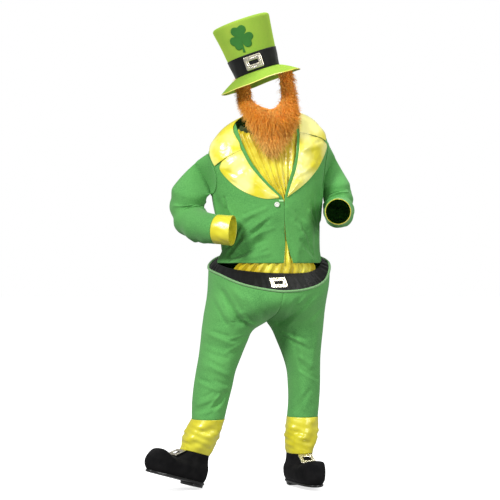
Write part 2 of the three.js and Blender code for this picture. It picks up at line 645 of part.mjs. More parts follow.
function sleeveSurface(side) {
  const name = side < 0 ? "right" : "left";
  const line = [...sleeveLines[name], cuffLines[name]];
  const frameAt = sleeveFrames(line, new THREE.Vector3(0, 0, -1));
  const wrist = (line.length - 2) / (line.length - 1);
  return (u, along) => {
    const t = along * wrist;
    const frame = frameAt(t);
    const angle = 2 * Math.PI * u;
    const near = Math.exp(-(((along - sleeveFold.middle) / sleeveFold.reach) ** 2));
    const crease = sleeveFold.depth * Math.sin(along * sleeveFold.turns) * near;
    const radius = frame.radius + crease * Math.max(0, -Math.cos(angle));
    const ring = frame.point
      .clone()
      .addScaledVector(frame.across, radius * Math.cos(angle))
      .addScaledVector(frame.other, side * radius * Math.sin(angle));
    const blend = ease(along, 0, shoulderBlend);
    return armholePoint(side, u * armColumns).lerp(ring, blend);
  };
}

function buildSleeves() {
  for (const side of [-1, 1]) {
    const name = side < 0 ? "right" : "left";
    const surface = sleeveSurface(side);
    const flip = (u) => (side < 0 ? u : -u);
    const shell = (u, v) => surface(flip(u), 1 - v);
    addPiece(
      "sleeve_" + name,
      wall(shell, { columns: armColumns, rows: 14, thickness: clothWall, wrap: true }),
      colours.jersey,
    );
    const cuff = (u, v) => surface(flip(u), 1 + wristGap + (1 - v) * cuffReach);
    addPiece(
      "sleeve_cuff_" + name,
      wall(cuff, { columns: armColumns, rows: 4, thickness: satinWall, wrap: true }),
      colours.satin,
      0.4,
    );
  }
}
// Rim of the waist hoop at a turn from the front
function rimPoint(turn, radiusLess = 0) {
  const degrees = THREE.MathUtils.radToDeg(Math.atan2(Math.sin(turn), Math.cos(turn)));
  return new THREE.Vector3(
    hoop.middleX + (hoop.halfWidth - radiusLess) * Math.sin(turn),
    -(hoop.halfDepth - radiusLess) * Math.cos(turn),
    columnAt(hoopRim, "turn", "z", degrees),
  );
}

function beltPoint(turn, along) {
  const bodyTurn = turn - torsoTurn;
  const degrees = THREE.MathUtils.radToDeg(Math.atan2(Math.sin(bodyTurn), Math.cos(bodyTurn)));
  const waist = torsoPoint(bodyTurn, columnAt(beltTop, "turn", "z", degrees), beltClear + satinWall);
  const rim = rimPoint(turn, hoop.wire + 0.6);
  return rim.lerp(waist, along);
}

function buildWaist() {
  const columns = 32;
  const belt = (u, v) => beltPoint(2 * Math.PI * u, v);
  addPiece("belt", wall(belt, { columns, rows: 3, thickness: satinWall, wrap: true }), colours.black, 0.5);
  const wire = (u, v) => {
    const turn = 2 * Math.PI * u;
    const around = 2 * Math.PI * v;
    const middle = rimPoint(turn);
    const outward = new THREE.Vector3(Math.sin(turn), -Math.cos(turn), 0);
    return middle
      .addScaledVector(outward, hoop.wire * Math.cos(around))
      .add(new THREE.Vector3(0, 0, hoop.wire * Math.sin(around)));
  };
  const faces = [];
  const sides = 6;
  for (let i = 0; i < columns; i++)
    for (let j = 0; j < sides; j++) {
      const corner = (a, b) => wire((a % columns) / columns, (b % sides) / sides);
      const [a, b, c, d] = [corner(i, j), corner(i + 1, j), corner(i + 1, j + 1), corner(i, j + 1)];
      faces.push([a, b, c], [a, c, d]);
    }
  addPiece("waist_hoop", geometryOf(faces), 0x7fb477);
}

// A buckle: a flat plate with holes
function buckleGeometry(width, height, holes, thick) {
  const rounded = (w, h, r, x = 0, y = 0, target = new THREE.Shape()) => {
    target.absarc(x + w / 2 - r, y + h / 2 - r, r, 0, Math.PI / 2);
    target.absarc(x - w / 2 + r, y + h / 2 - r, r, Math.PI / 2, Math.PI);
    target.absarc(x - w / 2 + r, y - h / 2 + r, r, Math.PI, 1.5 * Math.PI);
    target.absarc(x + w / 2 - r, y - h / 2 + r, r, 1.5 * Math.PI, 2 * Math.PI);
    return target;
  };
  const plate = rounded(width, height, 5);
  for (const hole of holes)
    plate.holes.push(rounded(hole.width, hole.height, 2, hole.x, hole.y, new THREE.Path()));
  return new THREE.ExtrudeGeometry(plate, { depth: thick, bevelEnabled: false, curveSegments: 2 });
}

function buildBeltBuckle() {
  const turn = rad(beltBuckle.turn);
  const foot = beltPoint(turn, beltBuckle.along);
  const across = beltPoint(turn + 0.01, beltBuckle.along).sub(beltPoint(turn - 0.01, beltBuckle.along));
  const up = beltPoint(turn, beltBuckle.along + 0.05).sub(beltPoint(turn, beltBuckle.along - 0.05));
  const outward = across.cross(up).normalize();
  const hole = { width: beltBuckle.holeWidth, height: beltBuckle.holeHeight, x: 0, y: 0 };
  const plate = buckleGeometry(beltBuckle.width, beltBuckle.height, [hole], beltBuckle.thick);
  const buckle = addPiece("belt_buckle", plate, colours.metal, 0.3, 0.9);
  seat(buckle, foot.addScaledVector(outward, beltBuckle.stand), outward, up);
}

// One half of the trousers: side is -1 for the right leg, around runs from the front middle or the
// inner leg, round the outside, to the back, and step is the section
function trouserPoint(side, around, step) {
  const at = (name) => columnAt(trouserRows, "step", name, step);
  const leg = side < 0 ? "R" : "L";
  const isJoined = step < crotchStep;
  const split = THREE.MathUtils.clamp(at("split"), 0, 1);
  const outer = at("out" + leg);
  const inner = at("in" + leg);
  const half = isJoined ? outer / (1 + split) : (outer - inner) / 2;
  const middle = isJoined ? split * half : (outer + inner) / 2;
  const start = isJoined ? -Math.asin(split) : -Math.PI / 2;
  const angle = mix(start, Math.PI - start, around);
  const depth = Math.cos(angle) > 0 ? at("front") : at("back");
  const localX = side * (middle + half * Math.sin(angle));
  const localY = -depth * Math.cos(angle) - (side < 0 ? at("ahead") : 0);
  const body = new THREE.Vector3(
    trouserMiddleX + localX * Math.cos(trouserTurn) - localY * Math.sin(trouserTurn),
    localX * Math.sin(trouserTurn) + localY * Math.cos(trouserTurn),
    at("z"),
  );
  const rim = rimPoint(trouserTurn + side * Math.PI * around);
  rim.z -= hoop.wire + trouserClear;
  const hipDrop = (at("z") - trouserRows[0].z) / (trouserRows[crotchStep].z - trouserRows[0].z);
  if (isJoined) body.z = mix(rim.z, trouserRows[crotchStep].z, hipDrop);
  const height = body.z;
  const point = rim.lerp(body, THREE.MathUtils.clamp(at("join"), 0, 1)).setZ(height);
  const facing = Math.cos(angle);
  const folds = trouserFolds.filter((fold) => fold.side * facing > 0);
  const fade = ease(step, 0.3, 1.5) * ease(12 - step, 0, 1) * Math.min(1, Math.abs(facing) * 1.6);
  const seam = Math.min(1, 12 * around, 12 * (1 - around));
  const rise = foldHeight(folds, point.x, point.z, "x", "z") * fade * seam;
  point.y -= Math.sign(facing) * rise;
  return point;
}

const lastTrouserStep = trouserRows.length - 1;
function buildTrousers() {
  const steps = [0, 0.7, 1.4, 2.2, 3, 3.7, 4.4, 5, 5.4, 6, 6.6, 7.3, 8, 9, 10, 11, 12];
  const levels = steps.map((step) => 1 - step / lastTrouserStep).reverse();
  const panel = { columns: 7, rows: steps.length - 1, levels, thickness: clothWall };
  for (const side of [-1, 1]) {
    const name = side < 0 ? "right" : "left";
    const half = (from, to) => (u, v) =>
      trouserPoint(side, mix(from, to, side > 0 ? u : 1 - u), (1 - v) * lastTrouserStep);
    addPiece("trouser_front_" + name, wall(half(0, 0.5), panel), colours.jersey);
    addPiece("trouser_back_" + name, wall(half(0.5, 1), panel), colours.jersey);
  }
}

// A shoe's outer surface: around is the angle from the toe, and level is a row of the sections
function shoePoint(around, level, spread = 0) {
  const table = shoeSections.map((row, step) => ({ step, ...row }));
  const at = (name) => columnAt(table, "step", name, level);
  const c = Math.cos(around);
  const s = Math.sin(around);
  const reach = c > 0 ? at("toe") : at("heel");
  const squareness = 0.8;
  const x = Math.sign(c) * Math.abs(c) ** squareness * (reach + spread);
  const y = Math.sign(s) * Math.abs(s) ** squareness * (at("halfWidth") + spread);
  const height = at("height");
  const puffed = toePuff.lift * Math.exp(-(((x - toePuff.middle) / toePuff.reach) ** 2));
  return new THREE.Vector3(x, y, height + puffed * ease(height, toePuff.lowZ, toePuff.highZ));
}

function shoeMatrix(place) {
  const turn = new THREE.Quaternion().setFromEuler(new THREE.Euler(0, -rad(place.pitch), rad(place.turn), "ZYX"));
  return new THREE.Matrix4().compose(
    new THREE.Vector3(place.x, place.y, place.z),
    turn,
    new THREE.Vector3(1, 1, 1),
  );
}

const shoeColumns = 18;
function buildShoe(name, place) {
  const group = new THREE.Group();
  group.applyMatrix4(shoeMatrix(place));
  costume.add(group);
  const top = shoeSections.length - 1;
  const upper = wall((u, v) => shoePoint(2 * Math.PI * u, v * top), {
    columns: shoeColumns,
    rows: top,
    thickness: clothWall + 1,
    wrap: true,
  });
  addPiece("shoe_upper_" + name, upper, colours.black, 0.8, 0, group);
  // Rings of the sole's outline; the heel's are cut off short in front of the heel's breast
  const ring = (z, spread, toeward = 1, across = 1) =>
    Array.from({ length: shoeColumns }, (_, j) => {
      const p = shoePoint((2 * Math.PI * j) / shoeColumns, 0, spread);
      return new THREE.Vector3(p.x > 0 ? p.x * toeward : p.x, p.y * across, z);
    });
  const { bottom, top: soleTop, spread } = shoeSole;
  const sole = loft([ring(bottom, 0), ring(mix(bottom, soleTop, 0.5), spread), ring(soleTop, spread)]);
  addPiece("shoe_sole_" + name, sole, colours.black, 0.35, 0, group);
  const heelRing = (z, out) => ring(z, out, shoeHeel.toeward, shoeHeel.across);
  const heel = loft([heelRing(shoeHeel.bottom, 0), heelRing(shoeHeel.top, shoeHeel.spread)]);
  addPiece("shoe_heel_" + name, heel, colours.black, 0.35, 0, group);
  // The instep under the buckle
  const level = (x) => {
    let low = 2;
    let high = top;
    for (let i = 0; i < 30; i++) {
      const middle = (low + high) / 2;
      if (shoePoint(0, middle).x > x) low = middle;
      else high = middle;
    }
    return low;
  };
  const back = shoePoint(0, level(shoeBuckle.along - shoeBuckle.length / 2));
  const front = shoePoint(0, level(shoeBuckle.along + shoeBuckle.length / 2));
  const along = back.clone().sub(front).normalize();
  const outward = new THREE.Vector3(along.z, 0, -along.x);
  let stand = 0;
  for (let i = 0; i <= 10; i++) {
    const p = shoePoint(0, level(shoeBuckle.along + shoeBuckle.length * (i / 10 - 0.5)));
    stand = Math.max(stand, p.sub(back).dot(outward));
  }
  const hole = { width: shoeBuckle.holeWidth, height: shoeBuckle.holeLength, x: 0, y: 0 };
  const plate = buckleGeometry(shoeBuckle.width, shoeBuckle.length, [hole], shoeBuckle.thick);
  const buckle = addPiece("shoe_buckle_" + name, plate, colours.metal, 0.3, 0.9, group);
  const middle = back.clone().add(front).multiplyScalar(0.5).addScaledVector(outward, stand + shoeBuckle.stand);
  seat(buckle, middle, outward, along);
}

// An ankle cuff joins the end of a trouser leg to the opening of its shoe
function ankleCuffSurface(side) {
  const name = side < 0 ? "right" : "left";
  const matrix = shoeMatrix(shoes[name]);
  const place = shoes[name];
  const top = shoeSections.length - 1;
  return (u, v) => {
    const around = side < 0 ? u : 1 - u;
    const leg = trouserPoint(side, around, lastTrouserStep);
    leg.z -= ankleCuff.clear;
    const middle = legMiddle(side);
    const heading = Math.atan2(leg.y - middle.y, leg.x - middle.x) - rad(place.turn);
    const foot = shoePoint(heading, top);
    foot.z += ankleCuff.clear;
    foot.applyMatrix4(matrix);
    const point = foot.lerp(leg, v);
    const bulge = Math.sin(Math.PI * THREE.MathUtils.clamp(v, 0, 1));
    const crease = ankleCuff.creaseDepth * Math.sin(ankleCuff.creases * 2 * Math.PI * u + 5 * v);
    const outward = new THREE.Vector3(leg.x - middle.x, leg.y - middle.y, 0).normalize();
    return point.addScaledVector(outward, bulge * (ankleCuff.fullness + crease));
  };
}

function legMiddle(side) {
  const sum = new THREE.Vector3();
  for (let i = 0; i < 12; i++) sum.add(trouserPoint(side, i / 12, lastTrouserStep));
  return sum.divideScalar(12);
}

function buildAnkleCuffs() {
  for (const side of [-1, 1]) {
    const surface = ankleCuffSurface(side);
    const shell = (u, v) => {
      const wrapped = u - Math.floor(u);
      return surface(wrapped, v);
    };
    addPiece(
      "ankle_cuff_" + (side < 0 ? "right" : "left"),
      wall(shell, { columns: 18, rows: 6, thickness: satinWall, wrap: true }),
      colours.satin,
      0.4,
    );
  }
}

const hatMatrix = new THREE.Matrix4().compose(
  new THREE.Vector3(hatPlace.x, hatPlace.y, hatPlace.z),
  new THREE.Quaternion().setFromEuler(new THREE.Euler(rad(hatPlace.nod), -rad(hatPlace.lean), 0, "YXZ")),
  new THREE.Vector3(1, 1, 1),
);

// The crown's surface: height from its base, and how far out from it
function crownPoint(turn, height, out = 0) {
  const part = height / hatCrown.height;
  const halfX = mix(hatCrown.baseX, hatCrown.topX, part) + out;
  const halfY = mix(hatCrown.baseY, hatCrown.topY, part) + out;
  return new THREE.Vector3(halfX * Math.sin(turn), -halfY * Math.cos(turn), height);
}

function buildHat() {
  const group = new THREE.Group();
  group.applyMatrix4(hatMatrix);
  costume.add(group);
  const sideRows = 4;
  const crownRows = 9;
  const crown = (u, v) => {
    const turn = 2 * Math.PI * u;
    const row = v * crownRows;
    const straight = hatCrown.height - hatCrown.edge;
    if (row <= sideRows) return crownPoint(turn, (row / sideRows) * straight);
    const bend = (row - sideRows) / (crownRows - sideRows);
    const corner = Math.min(bend / 0.5, 1) * (Math.PI / 2);
    const inward = hatCrown.edge * (1 - Math.cos(corner));
    const rise = hatCrown.edge * Math.sin(corner);
    const point = crownPoint(turn, straight + rise, -inward);
    const shrink = bend <= 0.5 ? 1 : 1 - (bend - 0.5) / 0.5;
    return new THREE.Vector3(point.x * shrink, point.y * shrink, point.z + 3 * (1 - shrink * shrink));
  };
  const crownWall = { columns: hatColumns, rows: crownRows, thickness: feltWall, wrap: true, pole: true };
  addPiece("hat_crown", wall(crown, crownWall), colours.felt, 0.95, 0, group);
  const brim = (u, v) => {
    const turn = 2 * Math.PI * u;
    const out = 1 - v;
    const halfX = mix(hatCrown.baseX + hatBrim.gap, hatBrim.outX, out);
    const halfY = mix(hatCrown.baseY + hatBrim.gap, hatBrim.outY, out);
    const drop = hatBrim.drop * Math.max(out, 0) ** 1.25;
    return new THREE.Vector3(halfX * Math.sin(turn), -halfY * Math.cos(turn), -drop);
  };
  addPiece(
    "hat_brim",
    wall(brim, { columns: hatColumns, rows: 5, thickness: feltWall, wrap: true }),
    colours.felt,
    0.95,
    0,
    group,
  );
  const bandOut = hatBand.proud + clothWall;
  const band = (u, v) => crownPoint(2 * Math.PI * u, mix(hatBand.bottom, hatBand.top, v), bandOut);
  const bandWall = wall(band, { columns: hatColumns, rows: 2, thickness: clothWall, wrap: true });
  addPiece("hat_band", bandWall, colours.black, 0.5, 0, group);

  const foot = crownPoint(rad(hatBuckle.turn), hatBuckle.height, bandOut + hatBuckle.stand);
  const across = crownPoint(rad(hatBuckle.turn) + 0.01, hatBuckle.height).sub(
    crownPoint(rad(hatBuckle.turn) - 0.01, hatBuckle.height),
  );
  const up = crownPoint(rad(hatBuckle.turn), hatBuckle.height + 5).sub(
    crownPoint(rad(hatBuckle.turn), hatBuckle.height - 5),
  );
  const hole = { width: hatBuckle.holeWidth, height: hatBuckle.holeTall, x: 0, y: 0 };
  const plate = buckleGeometry(hatBuckle.width, hatBuckle.tall, [hole], hatBuckle.thick);
  const buckle = addPiece("hat_buckle", plate, colours.metal, 0.3, 0.9, group);
  seat(buckle, foot, across.cross(up).normalize(), up);

  // Three heart-shaped leaves and a stalk, as one outline measured from the middle
  const reachAt = (angle) => {
    const leaf = ((((angle - Math.PI / 6) / (2 * Math.PI)) * 3) % 1 + 1) % 1;
    const fromMiddle = Math.abs(leaf - 0.5) * 2;
    const heart = 1 - shamrock.notch * Math.exp(-((fromMiddle / 0.22) ** 2));
    const edge = Math.sqrt(Math.max(0, 1 - fromMiddle ** 3.2));
    const stalkTurn = Math.atan2(Math.sin(angle + Math.PI / 2 + 0.12), Math.cos(angle + Math.PI / 2 + 0.12));
    const stalk = Math.abs(stalkTurn) < 0.09 ? 1.12 : 0;
    return shamrock.size * Math.max(0.2 + 0.8 * heart * edge, stalk);
  };
  const applique = (u, v) => {
    const angle = -2 * Math.PI * u;
    const reach = reachAt(angle) * (1 - v);
    const x = reach * Math.cos(angle);
    const y = reach * Math.sin(angle);
    const turn = rad(shamrock.turn) + x / ((hatCrown.baseX + hatCrown.topX) / 2 + 6);
    return crownPoint(turn, shamrock.height + y, shamrock.stand + shamrock.thick);
  };
  const leaves = { columns: 36, rows: 2, thickness: shamrock.thick, wrap: true, pole: true };
  addPiece("hat_shamrock", wall((u, v) => applique(-u, v), leaves), colours.applique, 0.9, 0, group);
}

// The beard: fur that hangs in front of the chin and lies just off the shirt front
function buildBeard() {
  const lastStep = beardRows.length - 1;
  const thickness = (u, v) => {
    const inward = Math.sin(Math.PI * THREE.MathUtils.clamp(v, 0, 1)) ** furEdge.power;
    return furDepth * mix(furEdge.share, 1, inward);
  };
  const surface = (u, v) => {
    const at = (name) => columnAt(beardRows, "step", name, u * lastStep);
    const x = mix(at("outX"), at("inX"), v);
    const z = mix(at("outZ"), at("inZ"), v);
    const hanging = ease(z, beardRest.lowZ, beardRest.highZ);
    const bulge = beardBulge * Math.sin(Math.PI * THREE.MathUtils.clamp(v, 0, 1)) * hanging;
    const place = frontPlace(x, Math.min(z, beardRest.topZ));
    const chest = torsoPoint(place.turn, Math.min(place.z, beardRest.topZ), beardClear - shirtGathers.setIn);
    const resting = chest.y - thickness(u, v);
    const free = mix(at("outY"), at("inY"), v);
    const lifted = ease(z, beardRest.freeLowZ, beardRest.freeHighZ);
    const hung = Math.min(mix(resting, free, hanging), mix(resting, 0, lifted));
    return new THREE.Vector3(x, hung - bulge, z);
  };
  addPiece("beard", wall(surface, { columns: 24, rows: 6, thickness }), colours.fur, 1);
}

buildJacket();
buildCollar();
buildShirt();
buildButton();
buildSleeves();
buildWaist();
buildBeltBuckle();
buildTrousers();
buildShoe("right", shoes.right);
buildShoe("left", shoes.left);
buildAnkleCuffs();
buildHat();
buildBeard();

export default costume;
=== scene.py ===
import bpy
import bmesh
import numpy as np
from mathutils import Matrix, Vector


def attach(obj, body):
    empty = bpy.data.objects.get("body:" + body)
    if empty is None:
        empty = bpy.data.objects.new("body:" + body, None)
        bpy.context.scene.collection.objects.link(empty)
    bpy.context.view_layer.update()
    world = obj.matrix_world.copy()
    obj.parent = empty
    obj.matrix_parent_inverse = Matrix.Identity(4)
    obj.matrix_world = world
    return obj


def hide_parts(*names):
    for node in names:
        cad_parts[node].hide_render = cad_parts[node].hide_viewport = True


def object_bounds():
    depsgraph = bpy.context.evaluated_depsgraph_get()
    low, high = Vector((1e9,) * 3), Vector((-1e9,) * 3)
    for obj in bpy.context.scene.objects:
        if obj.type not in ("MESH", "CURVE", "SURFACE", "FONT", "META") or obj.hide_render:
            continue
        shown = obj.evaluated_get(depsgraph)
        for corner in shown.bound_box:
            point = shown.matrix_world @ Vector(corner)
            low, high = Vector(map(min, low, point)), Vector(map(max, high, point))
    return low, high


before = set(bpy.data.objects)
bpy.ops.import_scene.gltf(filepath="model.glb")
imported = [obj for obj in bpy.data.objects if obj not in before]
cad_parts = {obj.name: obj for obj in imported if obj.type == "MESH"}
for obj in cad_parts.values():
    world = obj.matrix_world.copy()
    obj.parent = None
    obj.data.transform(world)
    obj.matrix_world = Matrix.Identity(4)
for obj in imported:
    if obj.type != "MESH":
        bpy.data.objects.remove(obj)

# A leprechaun costume as it is worn. Lengths here are millimetres, and the meshes are metres.
# The front looks to -Y, and the costume's own left side is at +X. Names say right and left in that sense.
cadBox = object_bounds()
seed = np.random.default_rng(17)
pastTable = 0.05  # in steps, how far past its ends a table may be read
rimBulge = 0.3  # of the wall
weldReach = 2e-6  # in metres
straightUp = [0, 0, 1.0]
lookingOut = [0, -0.5, 1]  # buckles and button look forwards or up


def throughTable(table, key, name, at):
    # cubic between two rows: the rows' values and the slopes of their neighbours, Hermite form
    k = np.asarray(table[key], float)
    v = np.asarray(table[name], float)
    slope = np.empty_like(v)
    slope[1:-1] = (v[2:] - v[:-2]) / (k[2:] - k[:-2])
    slope[0] = (v[1] - v[0]) / (k[1] - k[0])
    slope[-1] = (v[-1] - v[-2]) / (k[-1] - k[-2])
    i = np.clip(np.searchsorted(k, at) - 1, 0, len(k) - 2)
    span = k[i + 1] - k[i]
    t = np.clip((at - k[i]) / span, -pastTable, 1 + pastTable)
    rest = 1 - t
    ends = (1 + 2 * t) * rest * rest * v[i] + t * t * (3 - 2 * t) * v[i + 1]
    return ends + t * rest * span * (rest * slope[i] - t * slope[i + 1])


def easeBetween(at, low, high):
    # 3t^2 - 2t^3, from 0 at low to 1 at high
    t = np.clip((at - low) / (high - low), 0, 1)
    return t * t * (3 - 2 * t)


def blendTo(a, b, part):
    # a + (b - a) * part, for numbers or for points
    if np.ndim(a) > np.ndim(part) or np.ndim(b) > np.ndim(part):
        part = np.asarray(part)[..., None]
    return a + (b - a) * part


def foldRise(folds, a, b, nameA, nameB):
    # each fold is a ridge exp(-(distance from its line / width)^2), dying away past its ends
    a, b = np.broadcast_arrays(a, b)
    rise = np.zeros(a.shape)
    rows = zip(*(folds[k] for k in (nameA + "A", nameB + "A", nameA + "B", nameB + "B", "width", "depth")))
    for a0, b0, a1, b1, width, depth in rows:
        length = np.hypot(a1 - a0, b1 - b0)
        along = ((a - a0) * (a1 - a0) + (b - b0) * (b1 - b0)) / length
        across = ((a - a0) * (b1 - b0) - (b - b0) * (a1 - a0)) / length
        past = np.maximum(0, np.maximum(-along, along - length))
        rise += depth * np.exp(-(across**2 + past**2) / width**2)
    return rise


# how far aside in widths, where it starts and ends along the fold, and how its far end fans out
companion = {
    "asideFrom": 1.5, "asideStep": 0.45, "start": 0.08, "startStep": 0.13, "end": 0.95, "endStep": -0.17, "fan": 1.3,
}


def withCompanions(folds, nameA, nameB, narrow=0.65, share=-0.75):
    # beside each fold a second one: a part of its length, set aside by one and a half to two and a half widths,
    # narrower, and a share of its depth the other way
    both = {k: list(values) for k, values in folds.items()}
    for i, width in enumerate(folds["width"]):
        start = np.array([folds[nameA + "A"][i], folds[nameB + "A"][i]], float)
        span = np.array([folds[nameA + "B"][i], folds[nameB + "B"][i]], float) - start
        reach = width * (companion["asideFrom"] + companion["asideStep"] * (i % 3)) * (1 if i % 2 else -1)
        aside = unit(np.array([-span[1], span[0]])) * reach
        first = start + span * (companion["start"] + companion["startStep"] * (i % 3)) + aside
        last = start + span * (companion["end"] + companion["endStep"] * (i % 2)) + aside * companion["fan"]
        row = {nameA + "A": first[0], nameB + "A": first[1], nameA + "B": last[0], nameB + "B": last[1]}
        row.update(width=width * narrow, depth=folds["depth"][i] * share)
        for k in both:
            both[k].append(row[k] if k in row else folds[k][i])
    return both


def unit(v):
    # each direction divided by its length
    return v / np.maximum(np.linalg.norm(v, axis=-1, keepdims=True), 1e-12)


def point3(x, y, z):
    # three coordinates side by side: (x, y, z) for each place
    return np.stack(np.broadcast_arrays(x, y, z), -1).astype(float)


def gridOf(columns, rows):
    # u runs left to right across the outside, v upwards, each in even steps from 0 to 1
    return np.meshgrid(np.linspace(0, 1, columns + 1), np.linspace(0, 1, rows + 1))


def ripples(waves, round, up=0.0):
    # sum of size * sin(a * round + b * up + phase), a wave a row
    return sum(size * np.sin(a * round + b * up + phase) for size, a, b, phase in waves)


def gridNormals(points, closed=False):
    # cross product of the step across and the step up
    if closed:
        ring = points[:, :-1]
        across = np.roll(ring, -1, 1) - np.roll(ring, 1, 1)
        across = np.concatenate([across, across[:, :1]], 1)
    else:
        across = np.gradient(points, axis=1)
    normals = np.cross(across, np.gradient(points, axis=0))
    flat = np.linalg.norm(normals, axis=-1) < 1e-9
    normals[flat] = normals[~flat].mean(0) if flat.any() else 0
    return unit(normals)


def gridLengths(points):
    # metres along the middle of the rows and of the columns: the sheet's own flat coordinates
    across = np.linalg.norm(np.diff(points, axis=1), axis=-1).mean(0)
    up = np.linalg.norm(np.diff(points, axis=0), axis=-1).mean(1)
    u = np.concatenate([[0], np.cumsum(across)])
    v = np.concatenate([[0], np.cumsum(up)])
    return np.stack(np.meshgrid(u, v), -1) / 1000


def cellsOf(index, uv, turned=False):
    # four corners of each cell of an index grid, with the same corners of its flat coordinates
    order = [(0, 0), (0, 1), (1, 1), (1, 0)]
    if turned:
        order = order[::-1]
    pick = lambda g: np.stack([g[a : g.shape[0] - 1 + a, b : g.shape[1] - 1 + b] for a, b in order], 2)
    return pick(index).reshape(-1, 4), pick(uv).reshape(-1, 4, 2)


def putMesh(name, points, cells, uvs, weld=False):
    # points / 1000, since they are millimetres and the mesh is in metres, with one flat map named cloth
    mesh = bpy.data.meshes.new(name)
    mesh.vertices.add(len(points))
    mesh.vertices.foreach_set("co", (np.asarray(points, float) / 1000).ravel())
    mesh.loops.add(cells.size)
    mesh.loops.foreach_set("vertex_index", cells.astype(np.int32).ravel())
    mesh.polygons.add(len(cells))
    mesh.polygons.foreach_set("loop_start", np.arange(0, cells.size, cells.shape[1], dtype=np.int32))
    mesh.uv_layers.new(name="cloth").data.foreach_set("uv", uvs.astype(np.float32).ravel())
    mesh.polygons.foreach_set("use_smooth", np.ones(len(cells), bool))
    mesh.update(calc_edges=True)
    if weld:
        shape = bmesh.new()
        shape.from_mesh(mesh)
        bmesh.ops.remove_doubles(shape, verts=shape.verts, dist=weldReach)
        shape.to_mesh(mesh)
        shape.free()
    mesh.validate()
    piece = bpy.data.objects.new(name, mesh)
    bpy.context.collection.objects.link(piece)
    return piece


def clothShell(name, points, wall, closed=False, weld=False):
    # outer skin at the points, inner skin at point - normal * wall, and on each open side a rounded rim whose
    # middle stands out by rimBulge of the wall
    rows, columns = points.shape[:2]
    normals = gridNormals(points, closed)
    depth = np.broadcast_to(wall, (rows, columns))[..., None]
    inner = points - normals * depth
    uv = gridLengths(points)
    count = columns - 1 if closed else columns
    index = np.arange(rows * count).reshape(rows, count)
    if closed:
        index = np.concatenate([index, index[:, :1]], 1)
    size = rows * count
    parts = [cellsOf(index, uv), cellsOf(index + size, uv, turned=True)]
    places = [points[:, :count].reshape(-1, 3), inner[:, :count].reshape(-1, 3)]
    last = 2 * size
    if closed:
        topEdge = (index[-1][::-1], uv[-1][::-1], (points[-1] - points[-2])[::-1])
        edges = [(index[0], uv[0], points[0] - points[1]), topEdge]
    else:
        away = np.concatenate([points[:1] - points[1:2], np.zeros_like(points[1:-1]), points[-1:] - points[-2:-1]])
        away[:, 0] += points[:, 0] - points[:, 1]
        away[:, -1] += points[:, -1] - points[:, -2]
        walk = lambda g: np.concatenate([g[0, :-1], g[:-1, -1], g[-1, :0:-1], g[:0:-1, 0], g[:1, 0]])
        edges = [(walk(index), walk(uv), walk(away))]
    for ring, ringUv, away in edges:
        outside, inside = points[:, :count].reshape(-1, 3)[ring], inner[:, :count].reshape(-1, 3)[ring]
        thick = np.linalg.norm(outside - inside, axis=-1, keepdims=True)
        middle = (outside + inside) / 2 + unit(away) * rimBulge * thick
        middleIndex = last + np.arange(len(ring))
        middleIndex[-1] = last
        places.append(middle[:-1])
        last += len(ring) - 1
        strip = np.stack([ring, middleIndex, ring + size])
        parts.append(cellsOf(strip, np.stack([ringUv] * 3), turned=True))
    cells = np.concatenate([p[0] for p in parts])
    uvs = np.concatenate([p[1] for p in parts])
    return putMesh(name, np.concatenate(places), cells, uvs, weld)


def pressSeams(points, edges, dip=1.1, width=5, closed=False):
    # lowers the cloth along its sewn edges: dip * exp(-(distance to the edge / width)^2)
    normals = gridNormals(points, closed)
    across = np.cumsum(np.linalg.norm(np.diff(points, axis=1, prepend=points[:, :1]), axis=-1), 1)
    up = np.cumsum(np.linalg.norm(np.diff(points, axis=0, prepend=points[:1]), axis=-1), 0)
    distances = {"left": across, "right": across[:, -1:] - across, "bottom": up, "top": up[-1:] - up}
    drop = sum(np.exp(-((distances[edge] / width) ** 2)) for edge in edges)
    return points - normals * (dip * drop)[..., None]


def gridSolid(name, points, endsMeet=False):
    # the surface through a grid whose last column is its first: its end rows meet, or shrink to poles
    rows, columns = points.shape[:2]
    keep = rows - 1 if endsMeet else rows
    index = np.arange(keep * (columns - 1)).reshape(keep, columns - 1)
    index = np.concatenate([index, index[:, :1]], 1)
    if endsMeet:
        index = np.concatenate([index, index[:1]])
    cells, uvs = cellsOf(index, gridLengths(points))
    places = points[:keep, :-1].reshape(-1, 3)
    a, b, c, d = (places[cells[:, k]] for k in range(4))
    volume = (a * np.cross(b, c)).sum() + (a * np.cross(c, d)).sum()
    if volume < 0:
        cells, uvs = cells[:, ::-1], uvs[:, ::-1]
    return putMesh(name, places, cells, uvs, weld=not endsMeet)


def tubeAlong(name, path, radius, sides=8):
    # circle carried round a closed path: across * cos + up * sin
    forward = unit(np.roll(path, -1, 0) - np.roll(path, 1, 0))
    guide = np.where(np.abs(forward[:, 2:]) > 0.9, [[1.0, 0, 0]], [straightUp])
    across = unit(np.cross(forward, guide))[:, None]
    up = np.cross(across, forward[:, None])
    turn = np.linspace(0, 2 * np.pi, sides + 1)[None, :, None]
    points = path[:, None] + radius * (across * np.cos(turn) + up * np.sin(turn))
    return gridSolid(name, np.concatenate([points, points[:1]]), endsMeet=True)


